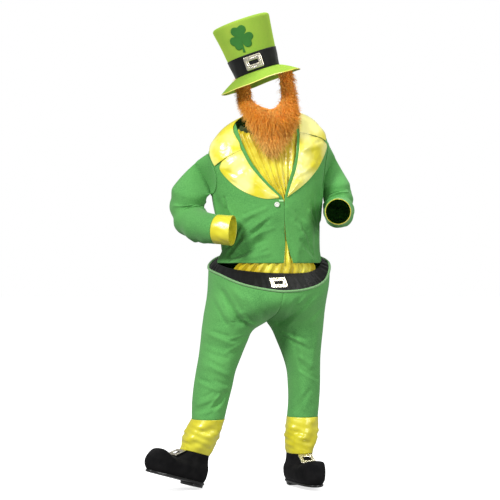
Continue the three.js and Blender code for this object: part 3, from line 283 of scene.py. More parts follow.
def strandMesh(name, paths, reach, other, widths, uvs):
    # many thin three-sided strands as one piece: each ring is path + width * (reach * cos + other * sin)
    count, steps = paths.shape[:2]
    turn = np.arange(3) * 2 * np.pi / 3
    turn = turn[None, None, :, None]
    ring = reach[:, None, None] * np.cos(turn) + other[:, None, None] * np.sin(turn)
    points = paths[:, :, None] + widths[:, :, None, None] * ring
    index = np.arange(count * steps * 3).reshape(count, steps, 3)
    after = np.roll(index, -1, 2)
    low, high, lowAfter, highAfter = index[:, :-1], index[:, 1:], after[:, :-1], after[:, 1:]
    sides = [np.stack([low, lowAfter, highAfter], -1), np.stack([low, highAfter, high], -1)]
    ends = [index[:, 0, ::-1], index[:, -1]]
    cells = np.concatenate([side.reshape(-1, 3) for side in sides + ends])
    flat = np.repeat(uvs[:, :, None], 3, 2).reshape(-1, 2)
    return putMesh(name, points.reshape(-1, 3), cells, flat[cells])


def stitchRows(name, rows, pitch=4.2, length=2.8, width=0.42):
    # topstitching: at even lengths along each row, a small spindle of eight triangles pointing along it
    places, cells = [], []
    for path, normal in rows:
        run = np.concatenate([[0], np.cumsum(np.linalg.norm(np.diff(path, axis=0), axis=-1))])
        at = np.arange(pitch, run[-1] - pitch, pitch)
        take = lambda at, values: np.stack([np.interp(at, run, values[:, k]) for k in range(3)], -1)
        out = unit(take(at, normal))
        middle = take(at, path) + out * width * 0.6
        half = take(at + length / 2, path) - take(at, path)
        side = np.cross(unit(half), out) * width
        around = [middle + side, middle + out * width, middle - side, middle - out * width]
        corners = [middle - half, middle + half, *around]
        start = sum(len(p) for p in places)
        places.append(np.stack(corners, 1).reshape(-1, 3))
        first = start + 6 * np.arange(len(at))[:, None]
        for k in range(4):
            a, b = 2 + k, 2 + (k + 1) % 4
            cells += [first + [0, b, a], first + [1, a, b]]
    places, cells = np.concatenate(places), np.concatenate(cells)
    a, b, c = (places[cells[:, k]] for k in range(3))
    if (a * np.cross(b, c)).sum() < 0:
        cells = cells[:, ::-1]
    return putMesh(name, places, cells, np.zeros((len(cells), 3, 2)))


def insetRow(points, edge, steps, closed=False):
    # the grid line a few steps in from an edge, with the cloth's normals there
    normals = gridNormals(points, closed)
    row = steps if edge in ("bottom", "left") else -1 - steps
    pick = np.s_[row] if edge in ("bottom", "top") else np.s_[:, row]
    return points[pick], normals[pick]


# The upper body is one surface that the jacket, its lapels, the collar, the shirt front and the belt follow.
body = {
    "turn": np.radians(15), "shoulderDrop": 0.12, "dropLowZ": -380, "dropHighZ": -120,
    "girthPerRadian": 190, "girthEnd": -400, "foldLowZ": -300, "foldHighZ": -180,
    "creaseLowZ": -260, "creaseHighZ": -150,
}
torsoSections = {
    "z": [-660, -570, -519, -430, -357, -260, -180, -110, -60, -25, 0, 22, 40, 52],
    "halfWidth": [206, 219, 206, 215, 225, 236, 252, 258, 242, 212, 184, 150, 112, 84],
    "front": [150, 154, 148, 148, 146, 140, 130, 116, 103, 94, 88, 80, 72, 66],
    "back": [125, 129, 127, 128, 130, 130, 124, 112, 100, 90, 84, 78, 72, 66],
    "shift": [2, 2, 9, 3, 0, 0, 0, 0, 0, 0, 0, 0, 0, 0],
}
jacketFolds = {
    "girthA": [-75, -20, -60, -250, 60, 110, 190, 330, 470, -330],
    "zA": [-365, -380, -470, -330, -330, -420, -300, -240, -180, -260],
    "girthB": [-180, -190, -230, -180, 150, 60, 200, 400, 520, -420],
    "zB": [-440, -510, -560, -470, -420, -560, -540, -520, -500, -520],
    "width": [24, 26, 24, 28, 26, 24, 26, 30, 32, 30],
    "depth": [6, 8, -7, -7, 5, 6, -7, 7, -7, 7],
}
jacketCreases = {  # smaller creases between the folds
    "girthA": [
        -40, -90, -150, -210, -120, 35, 70, 130, 90, 250, -290, 380, 450, 540, -360, 300, -20, 20, -30, -60,
        -100, -210, -175, 60, 95, 150, -205, -200, -210, -190, -212
    ],
    "zA": [
        -350, -390, -400, -350, -480, -345, -400, -360, -480, -260, -250, -220, -300, -240, -330, -420, -430,
        -440, -395, -420, -440, -300, -450, -400, -440, -330, -560, -545, -530, -568, -505
    ],
    "girthB": [
        -120, -200, -250, -170, -240, 90, 150, 190, 170, 230, -270, 350, 500, 500, -330, 270, -110, 60, -130,
        -165, -200, -190, -235, 120, 165, 190, -60, -85, -120, -45, -150
    ],
    "zB": [
        -390, -470, -500, -420, -530, -420, -480, -430, -540, -430, -420, -420, -520, -400, -520, -560, -470,
        -560, -475, -520, -545, -410, -500, -470, -520, -420, -480, -455, -435, -535, -415
    ],
    "width": [
        7.92, 9.36, 8.64, 10.1, 8.64, 7.2, 9.36, 8.64, 8.64, 10.1, 10.1, 10.8, 10.1, 9.36, 10.1, 10.8, 7.2,
        7.2, 8, 7, 8, 8, 7, 8, 7, 7, 10, 9, 9, 10, 9
    ],
    "depth": [
        5, -6, 5, -6, 6, 4.8, -5.2, 5, -6, -6, 6, 6, -6, 5.2, -6, 6, 4, -4, -6, -5.25, 6, -6, -5.25, 5.25,
        -5.25, -4.5, -7, 6.5, -6.5, 6, -6
    ],
}
jacketCreases = withCompanions(jacketCreases, "girth", "z")


def shoulderDrop(x, z):
    # lower towards the right shoulder: share * x, easing in from the waist to the chest
    return body["shoulderDrop"] * x * easeBetween(z, body["dropLowZ"], body["dropHighZ"])


def torsoBase(turn, z):
    # ellipse of the section at z, with the folds laid on its radius, turned and let down at the right shoulder
    section = lambda name: throughTable(torsoSections, "z", name, z)
    depth = np.where(np.cos(turn) > 0, section("front"), section("back"))
    girth = np.arctan2(np.sin(turn), np.cos(turn)) * body["girthPerRadian"]
    girth = np.where(girth < body["girthEnd"], girth + 2 * np.pi * body["girthPerRadian"], girth)
    fold = 0
    for folds, low, high in ((jacketFolds, "foldLowZ", "foldHighZ"), (jacketCreases, "creaseLowZ", "creaseHighZ")):
        fold = fold + foldRise(folds, girth, z, "girth", "z") * (1 - easeBetween(z, body[low], body[high]))
    x = (section("halfWidth") + fold) * np.sin(turn)
    y = -(depth + fold) * np.cos(turn)
    worldX = section("shift") + x * np.cos(body["turn"]) - y * np.sin(body["turn"])
    worldY = x * np.sin(body["turn"]) + y * np.cos(body["turn"])
    return point3(worldX, worldY, z + shoulderDrop(worldX, z))


def torsoPoint(turn, z, out=0.0):
    # the base surface moved out along its normal, the cross product of a small step across and one up
    turn, z, out = np.broadcast_arrays(turn, z, out)
    smallTurn, smallRise = 0.002, 0.5
    across = torsoBase(turn + smallTurn, z) - torsoBase(turn - smallTurn, z)
    up = torsoBase(turn, z + smallRise) - torsoBase(turn, z - smallRise)
    return torsoBase(turn, z) + unit(np.cross(across, up)) * out[..., None]


def frontPlace(x, worldZ):
    # turn and height on the front for a place seen from straight in front: the two turns whose sines and cosines
    # give x, solved as arcsin(x / reach) - arctan(deep / wide)
    z = worldZ - shoulderDrop(x, worldZ)
    wide = throughTable(torsoSections, "z", "halfWidth", z) * np.cos(body["turn"])
    deep = throughTable(torsoSections, "z", "front", z) * np.sin(body["turn"])
    reach = np.clip((x - throughTable(torsoSections, "z", "shift", z)) / np.hypot(wide, deep), -1, 1)
    return np.arcsin(reach) - np.arctan2(deep, wide), z


jacket = {
    "wall": 2.0, "hemZ": -572, "neckZ": 38, "armTurn": 97, "armHalfTurn": 27, "armZ": -190, "armHalfHeight": 95,
    "rowsBelow": 56, "rowsBeside": 33, "rowsAbove": 26, "weltOut": 1.2, "ringOut": 0.5,
    "seamDip": 1.2, "seamWidth": 2 / 3,
}
frontEdges = {
    "z": [-600, -494, -407, -330, -299, -237, -166, -120, -71, 4, 60],
    "right": [60, 69, 66, 64, 52, -9, -66, -90, -112, -136, -152],
    "left": [108, 79, 68.4, 66.4, 68, 84, 106, 115, 118, 117, 112],
}


def armholeReach(z):
    # half the armhole's width in degrees, an ellipse: halfTurn * sqrt(1 - (height from its middle / half height)^2)
    rise = np.clip((z - jacket["armZ"]) / jacket["armHalfHeight"], -1, 1)
    return jacket["armHalfTurn"] * np.sqrt(1 - rise * rise)


def armholeSeam(side, count=180):
    # where the sleeve is sewn in: the oval (halfTurn * cos, halfHeight * sin) on the body's surface
    around = np.linspace(0, 2 * np.pi, count + 1)[:-1]
    turn = side * np.radians(jacket["armTurn"] + jacket["armHalfTurn"] * np.cos(around))
    return torsoPoint(turn, jacket["armZ"] + jacket["armHalfHeight"] * np.sin(around), jacket["weltOut"])


def frontEdgeTurn(side, z):
    # turn of the front edge at z: the table's x there, read at the height after the shoulder's drop of x is added
    name = "right" if side < 0 else "left"
    x = throughTable(frontEdges, "z", name, z)
    x = throughTable(frontEdges, "z", name, z + shoulderDrop(x, z))
    return frontPlace(x, z + shoulderDrop(x, z))[0]


# heights of the rows: even from the hem, closer together at the armhole's ends
armZ = jacket["armZ"] - jacket["armHalfHeight"] * np.cos(np.linspace(0, np.pi, jacket["rowsBeside"]))
belowZ = np.linspace(jacket["hemZ"], armZ[0], jacket["rowsBelow"])
aboveZ = np.linspace(armZ[-1], jacket["neckZ"], jacket["rowsAbove"])
jacketZ = np.concatenate([belowZ[:-1], armZ, aboveZ[1:]])


def jacketFront(side, columns=72):
    # the body's surface between two turns: edge + (armhole - edge) * share across, pressed at the side seam
    part, z = np.meshgrid(np.linspace(0, 1, columns + 1), jacketZ)
    arm = side * np.radians(jacket["armTurn"] - armholeReach(z))
    across = part if side > 0 else 1 - part
    points = torsoPoint(blendTo(frontEdgeTurn(side, z), arm, across), z)
    return pressSeams(points, ["left" if side < 0 else "right"])


def jacketBack(columns=104):
    # the body's surface from armhole to armhole round the back, less a narrow bell along the middle seam
    part, z = np.meshgrid(np.linspace(0, 1, columns + 1), jacketZ)
    start = np.radians(jacket["armTurn"] + armholeReach(z))
    points = torsoPoint(blendTo(start, 2 * np.pi - start, part), z)
    middle = jacket["seamDip"] * np.exp(-(((part - 0.5) * columns / jacket["seamWidth"]) ** 2))
    return pressSeams(points - gridNormals(points) * middle[..., None], ["left", "right"])


collar = {"wall": 1.6, "lapelClear": 1.2, "collarClear": 1.8, "roll": 4, "edgeShare": 8, "deepest": 0.8}
collar["waves"] = [(0.8, 9, 0.03, 0), (0.6, 17, 0, 1)]
lapelRight = {
    "step": [0, 1, 2, 3, 4, 5],
    "inX": [40, 0, -38, -76, -104, -110.4],
    "inZ": [-298, -262, -222, -174, -123, -111.8],
    "outX": [42, -18, -88, -148, -196, -190],
    "outZ": [-308, -310, -287, -247, -191, -155],
}
lapelLeft = {
    "step": [0, 1, 2, 3, 4, 5],
    "inX": [78, 96, 115, 126, 129, 128],
    "inZ": [-294, -240, -180, -110, -46, -35],
    "outX": [76, 137, 180, 216, 243, 224],
    "outZ": [-304, -257, -212, -158, -90, -58.6],
}
collarRows = {
    "step": [0, 1, 2, 3, 4, 5, 6, 7, 8, 9, 10, 11, 12],
    "inTurn": [-33, -40, -66, -88, -118, -150, -180, -210, -242, -276, -314, -327, -333],
    "inZ": [-98, -52, 12, 40, 45, 45, 45, 45, 45, 40, 20, -16, -50],
    "outTurn": [-68, -80, -92, -106, -130, -154, -180, -206, -232, -262, -277, -285, -294],
    "outZ": [-150, -94, -58, -40, -28, -32, -38, -32, -28, -34, -38, -66, -94],
}
satinCreases = {  # soft hollows and ridges of the satin, over x and z seen from in front
    "xA": [-70, -150, -110, -160, -60, 130, 180, 150, 200, 120, -20, 100, 175, -180],
    "zA": [-180, -240, -140, -120, -250, -110, -120, -200, -60, -230, -275, -270, -30, -190],
    "xB": [-140, -100, -180, -215, -100, 200, 215, 190, 150, 160, -60, 120, 205, -130],
    "zB": [-230, -280, -190, -150, -210, -90, -170, -160, -100, -200, -240, -240, -70, -215],
    "width": [12.8, 9.6, 14.4, 11.2, 9.6, 11.2, 12.8, 11.2, 11.2, 9.6, 8, 7.2, 9.6, 8],
    "depth": [3.96, -2.88, 4.32, 3.6, 2.88, 3.96, -3.24, 3.6, 3.24, -2.52, 2.52, 2.16, -2.7, -2.34],
}


def awayFromEdges(part):
    # 0 at both edges of a sheet and 1 from an eighth of its width inwards
    return np.minimum(1, collar["edgeShare"] * np.minimum(part, 1 - part))


def satinLift(part, x, z):
    # wall + roll * sin(pi * share across), plus the creases, which fade to nothing at both edges
    roll = collar["wall"] + collar["roll"] * np.sin(np.pi * np.clip(part, 0, 1))
    return roll + np.maximum(foldRise(satinCreases, x, z, "x", "z"), -collar["deepest"] * roll) * awayFromEdges(part)


def lapel(table, isRight, columns=44, rows=80):
    # inner line + (outer line - inner line) * share across, both seen from in front and laid on the body
    u, v = gridOf(columns, rows)
    step = v * (len(table["step"]) - 1)
    across = 1 - u if isRight else u
    x = blendTo(throughTable(table, "step", "inX", step), throughTable(table, "step", "outX", step), across)
    z = blendTo(throughTable(table, "step", "inZ", step), throughTable(table, "step", "outZ", step), across)
    turn, height = frontPlace(x, z)
    return torsoPoint(turn, height, collar["lapelClear"] + satinLift(u, x, z))


def collarSheet(columns=170, rows=26):
    # inner line + (outer line - inner line) * share, as turns and heights, lifted by wall + roll * sin(pi * share)
    # and by a few sines that wander along it
    u, v = gridOf(columns, rows)
    step = u * (len(collarRows["step"]) - 1)
    at = lambda name: throughTable(collarRows, "step", name, step)
    turn = np.radians(blendTo(at("outTurn"), at("inTurn"), 1 - v))
    z = blendTo(at("outZ"), at("inZ"), 1 - v)
    wander = ripples(collar["waves"], turn, z)
    roll = collar["wall"] + collar["roll"] * np.sin(np.pi * v) + wander * awayFromEdges(v)
    points = torsoPoint(turn, z, collar["collarClear"] + roll)
    return points[::-1, :]


shirt = {
    "wall": 1.6, "halfTurnTop": 56, "hemZ": -620, "topFront": -44, "topSide": 22,
    "gathers": 10, "depth": 4.8, "setIn": 7, "bindingHeight": 14, "bindingSetIn": 5.5, "bindingHalfTurn": 50,
    "bindingWall": 2.0, "bindingUp": 0.6, "ribs": 40, "ribDepth": 0.25,
    "wander": [(0.004, 7, 0, 3), (0.003, 17, 0, 0)], "smallGathers": 29, "tinyGathers": 47, "tinyDepth": 0.6,
}
shirtMargins = {
    "z": [-640, -590, -500, -400, 60],
    "right": [214, 196, 90, 44, 42],
    "left": [96, 92, 60, 42, 42],
}


def shirtTop(turn):
    # height of the neckline: front + (side - front) * sin(turn)^2
    return blendTo(shirt["topFront"], shirt["topSide"], np.sin(np.minimum(np.abs(turn), 1.2)) ** 2)


def shirtEdgeTurn(side, z):
    # turn of the shirt's hidden edge: the jacket's edge plus a margin under the jacket, within the half turn
    name = "right" if side < 0 else "left"
    edge = throughTable(frontEdges, "z", name, z) + side * throughTable(shirtMargins, "z", name, z)
    limit = np.radians(shirt["halfTurnTop"])
    return np.clip(frontPlace(edge, z)[0], -limit, limit)


def shirtFront(columns=190, rows=54):
    # the body's surface set in, plus gathers depth * cos(2 pi * gathers * share across)
    u, v = gridOf(columns, rows)
    rough = blendTo(shirt["hemZ"], shirt["topFront"], v)
    turn = blendTo(shirtEdgeTurn(-1, rough), shirtEdgeTurn(1, rough), u)
    z = blendTo(shirt["hemZ"], shirtTop(turn), v)
    # the large gathers, and between them smaller ones that wander and come and go
    wave = shirt["depth"] * np.cos(2 * np.pi * shirt["gathers"] * u)
    wander = u + ripples(shirt["wander"], v)
    small = np.cos(2 * np.pi * shirt["smallGathers"] * wander + 1) * (0.5 + 0.5 * np.sin(5 * v + 9 * u))
    tiny = shirt["tinyDepth"] * np.cos(2 * np.pi * shirt["tinyGathers"] * wander) * easeBetween(v, 0.45, 1)
    return torsoPoint(turn, z, wave + small + tiny - shirt["setIn"])


def neckBinding(columns=90, rows=10):
    # a band standing on the neckline, with ribs ribDepth * sin(2 pi * ribs * share across)
    u, v = gridOf(columns, rows)
    half = np.radians(shirt["bindingHalfTurn"])
    turn = blendTo(-half, half, u)
    rib = shirt["ribDepth"] * np.sin(2 * np.pi * shirt["ribs"] * u)
    z = shirtTop(turn) + shirt["bindingUp"] + v * shirt["bindingHeight"]
    return torsoPoint(turn, z, rib - shirt["bindingSetIn"])


sleeve = {
    "wall": 2.0, "cuffWall": 1.6, "cuffReach": 0.13, "wristGap": 0.0015,
    "foldDepth": 5, "foldTurns": 34, "shoulderBlend": 0.24, "elbow": 0.55, "elbowReach": 0.3,
    "welt": 1.9, "seamDip": 1.4, "seamWidth": 6, "cuffWaves": [(0.9, 5, 4, 0), (0.6, 11, -6, 1)],
}
sleeveRight = {
    "x": [-292, -322, -334, -320, -278, -206, -112],
    "y": [-58, -44, -34, -56, -116, -182, -214],
    "z": [-206, -276, -341, -392, -422, -435, -443],
    "radius": [80, 75, 70, 69, 65, 60, 62],
}
sleeveLeft = {
    "x": [264, 282, 294, 296, 291, 286, 281],
    "y": [84, 92, 84, 42, -32, -104, -190],
    "z": [-190, -245, -305, -353, -366, -363, -363],
    "radius": [62, 60, 61, 61, 60, 54, 51],
}
sleeveCreases = {  # along the sleeve, and round it from under the arm
    -1: {
        "alongA": [0.12, 0.2, 0.3, 0.36, 0.45, 0.52, 0.6, 0.66, 0.74, 0.82, 0.9, 0.4, 0.5, 0.62],
        "roundA": [0.05, 0.2, 0.1, 0.55, 0.02, 0.12, 0.05, 0.2, 0.1, 0.3, 0.15, 0.7, 0.8, 0.9],
        "alongB": [0.3, 0.42, 0.42, 0.52, 0.56, 0.6, 0.68, 0.76, 0.84, 0.9, 0.96, 0.52, 0.6, 0.7],
        "roundB": [0.22, 0.32, 0.3, 0.4, 0.24, 0.34, 0.3, 0.42, 0.36, 0.5, 0.4, 0.95, 1.02, 1.1],
        "width": [0.03, 0.035, 0.03, 0.035, 0.028, 0.03, 0.026, 0.03, 0.028, 0.03, 0.025, 0.03, 0.03, 0.03],
        "depth": [5.4, -5.4, 4.73, 4.05, -6.08, 6.08, -5.4, 4.73, -4.05, 3.38, -3.24, 5.4, -5.4, 4.73],
    },
}
sleeveCreases[-1] = withCompanions(sleeveCreases[-1], "along", "round", 0.5)
leftShare = {"alongA": 0.92, "alongB": 0.92}  # on the left sleeve the creases sit a little nearer the shoulder
sleeveCreases[1] = {k: [v * leftShare.get(k, 1) for v in values] for k, values in sleeveCreases[-1].items()}


def curveThrough(line, t):
    # centripetal cubic through the rows, each step weighted by the square root of its length
    points = np.stack([line["x"], line["y"], line["z"]], 1).astype(float)
    points = np.concatenate([[2 * points[0] - points[1]], points, [2 * points[-1] - points[-2]]])
    count = len(points) - 3
    i = np.clip(np.floor(t * count).astype(int), 0, count - 1)
    w = (t * count - i)[:, None]
    p0, p1, p2, p3 = (points[i + k] for k in range(4))
    d0, d1, d2 = (np.sqrt(np.linalg.norm(b - a, axis=-1, keepdims=True)) for a, b in ((p0, p1), (p1, p2), (p2, p3)))
    s1 = ((p1 - p0) / d0 - (p2 - p0) / (d0 + d1) + (p2 - p1) / d1) * d1
    s2 = ((p2 - p1) / d1 - (p3 - p1) / (d1 + d2) + (p3 - p2) / d2) * d1
    return p1 + s1 * w + (3 * (p2 - p1) - 2 * s1 - s2) * w**2 + (2 * (p1 - p2) + s1 + s2) * w**3


def carriedFrames(line, firstAcross, count=160):
    # the middle line with a frame carried along it without twisting: held - ahead * (held . ahead), made unit again
    t = np.linspace(0, 1, count + 1)
    middle = curveThrough(line, t)
    forward = unit(np.gradient(middle, axis=0))
    across = np.empty_like(middle)
    held = np.asarray(firstAcross, float)
    for i, ahead in enumerate(forward):
        held = unit(held - ahead * (held @ ahead))
        across[i] = held
    steps = np.arange(len(line["x"]))
    radius = throughTable({"step": steps, **line}, "step", "radius", t * steps[-1])
    return t, middle, across, np.cross(forward, across), radius


def armholeRing(side, u):
    # the armhole's edge, from under the arm round the front, over the top and down the back: the same oval,
    # -halfTurn * sin and -halfHeight * cos from its middle
    angle = 2 * np.pi * u
    z = jacket["armZ"] - jacket["armHalfHeight"] * np.cos(angle)
    reach = -jacket["armHalfTurn"] * np.sin(angle)
    return torsoPoint(side * np.radians(jacket["armTurn"] + reach), z, jacket["ringOut"])


def sleeveSurface(side, u, along):
    # round the carried line: middle + radius * (across * cos + other * sin), the radius with its folds, and
    # blended near the shoulder into the armhole's ring
    line = sleeveRight if side < 0 else sleeveLeft
    t, middle, across, other, radius = carriedFrames(line, [0, 0, -1])
    wrist = (len(line["x"]) - 2) / (len(line["x"]) - 1)
    place = np.clip(along * wrist, 0, 1)
    take = lambda values: np.stack([np.interp(place, t, values[:, k]) for k in range(3)], -1)
    angle = 2 * np.pi * u
    near = np.exp(-(((along - sleeve["elbow"]) / sleeve["elbowReach"]) ** 2))
    bend = sleeve["foldDepth"] * np.sin(along * sleeve["foldTurns"]) * near
    size = np.interp(place, t, radius) + bend * np.maximum(0, -np.cos(angle))
    turn = u - np.floor(u)
    creases = sum(foldRise(sleeveCreases[side], along, turn + k, "along", "round") for k in (-1, 0, 1))
    size = size + creases * easeBetween(along, 0.06, 0.25) * (1 - easeBetween(along, 0.93, 1))
    ring = take(middle) + take(across) * (size * np.cos(angle))[..., None]
    ring = ring + take(other) * (side * size * np.sin(angle))[..., None]
    return blendTo(armholeRing(side, u), ring, easeBetween(along, 0, sleeve["shoulderBlend"]))


def sleeveShell(side, columns=90, rows=130):
    # the whole sleeve as a grid, pressed where it is sewn in and where the cuff begins
    u, v = gridOf(columns, rows)
    points = sleeveSurface(side, u if side < 0 else -u, 1 - v)
    return pressSeams(points, ["top", "bottom"], sleeve["seamDip"], sleeve["seamWidth"], True)


def cuffShell(side, columns=96, rows=26):
    # the sleeve's surface past the wrist, plus two slanting waves that are nothing at both ends
    u, v = gridOf(columns, rows)
    points = sleeveSurface(side, u if side < 0 else -u, 1 + sleeve["wristGap"] + (1 - v) * sleeve["cuffReach"])
    angle = 2 * np.pi * u
    crumple = ripples(sleeve["cuffWaves"], angle, v) * np.sin(np.pi * v)
    return points + gridNormals(points, True) * crumple[..., None]


hoop = {"middleX": 4, "halfWidth": 252, "halfDepth": 234, "wire": 5, "pipingLess": 0.1, "beltLess": 0.6, "steps": 240}
hoopRim = {
    "turn": [-180, -124, -90, -55, -27, -6, 14, 39, 63, 90, 124, 180],
    "z": [-500, -548, -589, -618, -656, -676, -686, -676, -647, -585, -546, -500],
}
beltTop = {
    "turn": [-180, -90, -45, 0, 45, 90, 180],
    "z": [-512, -572, -600, -613, -606, -556, -512],
}
belt = {"wall": 1.6, "clear": 0.9, "gather": 4, "atRim": 0.25, "wander": 5}
belt["waves"] = [(1.1, 34, 3, 0), (0.8, 55, 0, 2)]


def wrapDegrees(turn):
    # the same turn between -180 and 180 degrees: arctan2(sin, cos)
    return np.degrees(np.arctan2(np.sin(turn), np.cos(turn)))


def rimPoint(turn, less=0.0):
    # ellipse (width * sin, -depth * cos) round the hoop's middle, its height from the table of turns
    x = hoop["middleX"] + (hoop["halfWidth"] - less) * np.sin(turn)
    y = -(hoop["halfDepth"] - less) * np.cos(turn)
    return point3(x, y, throughTable(hoopRim, "turn", "z", wrapDegrees(turn)))


def beltPoint(turn, along):
    # straight from the rim to the waist: rim + (waist - rim) * share
    inner = turn - body["turn"]
    height = throughTable(beltTop, "turn", "z", wrapDegrees(inner))
    waist = torsoPoint(inner, height, belt["clear"] + belt["wall"])
    return blendTo(rimPoint(turn, hoop["wire"] + hoop["beltLess"]), waist, along)


def beltSheet(columns=220, rows=16):
    # a funnel from the rim up to the waist, moved out by (atRim + (1 - atRim) v) * (1 - v) * gather * waves
    u, v = gridOf(columns, rows)
    angle = 2 * np.pi * u
    points = beltPoint(angle, v)
    gather = blendTo(belt["atRim"], 1, v) * (1 - v) * belt["gather"]
    wave = ripples(belt["waves"], angle, np.sin(belt["wander"] * angle))
    return points + gridNormals(points, True) * (gather * wave)[..., None]


trousers = {
    "wall": 2.0, "turn": np.radians(13), "middleX": -6, "clear": 0.6, "crotchStep": 5, "seamDip": 1.0, "seamWidth": 4,
    "foldFrom": 0.3, "foldFull": 1.5, "towardsSide": 1.6, "besideSeam": 12,
}
trouserRows = {
    "step": [0, 1, 2, 3, 4, 5, 6, 7, 8, 9, 10, 11, 12],
    "z": [-600, -650, -698, -745, -785, -811, -850, -900, -960, -1020, -1080, -1145, -1212],
    "join": [0, 0.25, 0.6, 0.87, 1, 1, 1, 1, 1, 1, 1, 1, 1],
    "split": [0, 0.04, 0.16, 0.42, 0.8, 1, 1, 1, 1, 1, 1, 1, 1],
    "outR": [250, 250, 251, 257, 263, 267, 273, 279, 288, 300, 311, 319, 322],
    "outL": [268, 258, 250, 245, 242, 240, 237, 232, 227, 226, 226, 223, 218],
    "inR": [0, 0, 0, 0, 0, 0.5, 62, 88, 114, 138, 152, 170, 187],
    "inL": [0, 0, 0, 0, 0, 0.5, 26, 48, 72, 89, 94, 95, 89],
    "front": [236, 226, 206, 182, 160, 146, 128, 113, 102, 95, 88, 80, 70],
    "back": [236, 228, 212, 190, 168, 152, 132, 116, 104, 97, 90, 82, 70],
    "ahead": [0, 0, 0, 0, 0, 0, 2, 5, 9, 13, 18, 24, 30],
}
lastTrouserStep = len(trouserRows["step"]) - 1
trouserFolds = {
    "side": [1, 1, 1, 1, 1, 1, 1, 1, 1, 1, -1, -1, -1, -1, -1, -1],
    "xA": [-205, -116, -160, 224, 215, -260, -280, -170, 120, 195, -210, 210, -270, -290, 90, 100],
    "zA": [
        -660, -805, -660, -655, -700, -900, -985, -1105, -900, -930, -640, -640, -960, -1060,
        -970, -1080
    ],
    "xB": [-116, -60, -80, 40, 70, -120, -150, -310, 150, 190, -60, 50, -140, -160, 210, 210],
    "zB": [
        -805, -850, -790, -815, -850, -945, -1025, -1195, -1180, -1160, -830, -830, -1010,
        -1100, -1010, -1120
    ],
    "width": [20, 18, 24, 20, 22, 18, 18, 20, 20, 20, 24, 24, 20, 20, 20, 20],
    "depth": [-8, -7, 6, -8, 6, -6, 6, -8, 6, -6, -8, -8, -7, 6, -7, 6],
}
trouserCreases = {
    "side": [
        1, 1, 1, 1, 1, 1, 1, 1, 1, 1, 1, 1, 1, 1, 1, 1, 1, 1, -1, -1, -1, -1, -1, -1, -1, -1, 1, 1, 1, 1, 1, 1,
        1, 1, 1, 1, 1, 1
    ],
    "xA": [
        -225, -180, -90, -30, 110, 160, 236, -250, -265, -230, -300, -290, -200, 100, 130, 205, 170, -130,
        -150, 120, -240, -250, -280, 110, 120, 200, -187, -110, 224, 124, -55, -65, 60, 60, -175, -240, 135,
        -240
    ],
    "zA": [
        -700, -640, -700, -700, -700, -640, -760, -860, -930, -1060, -1040, -1150, -1165, -860, -960, -860,
        -1100, -760, -760, -760, -900, -1020, -1140, -900, -1040, -1140, -685, -811, -652, -765, -862, -880,
        -852, -872, -1104, -1192, -1010, -990
    ],
    "xB": [
        -150, -110, -40, -20, 60, 90, 180, -150, -170, -160, -180, -200, -300, 130, 190, 180, 120, -60, -40,
        30, -140, -160, -190, 190, 200, 110, -121, -50, 136, 45, -150, -170, 150, 170, -229, -310, 200, -150
    ],
    "zB": [
        -820, -760, -800, -780, -800, -760, -820, -900, -960, -1090, -1075, -1120, -1200, -1000, -1000, -1000,
        -1180, -850, -840, -840, -930, -1060, -1170, -930, -1075, -1165, -797, -852, -755, -822, -892, -935,
        -882, -930, -1183, -1212, -1050, -1040
    ],
    "width": [
        9.36, 10.1, 10.8, 8.64, 10.1, 10.8, 10.1, 9.36, 8.64, 8.64, 8.64, 9.36, 8.64, 9.36, 8.64, 10.1, 9.36,
        7.2, 10.8, 10.8, 10.1, 9.36, 8.64, 10.1, 9.36, 8.64, 8.5, 8.5, 8.5, 8.5, 6, 7, 6, 7, 8.5, 8.5, 7, 7
    ],
    "depth": [
        4.95, -5.78, 5.78, -4.95, 4.95, -5.78, 4.95, 4.95, -4.95, 4.95, -4.95, 4.95, 5.78, -4.95, 4.95, 4.95,
        -4.12, 4.95, -6.6, 6.6, 4.95, -4.95, 4.95, 4.95, -4.95, 4.95, -8.12, -8.12, -8.12, -7.11, -4.2, 4.2,
        -4.2, -4.2, -8.12, -8.12, -4.9, 4.2
    ],
}
trouserCreases = withCompanions(trouserCreases, "x", "z")


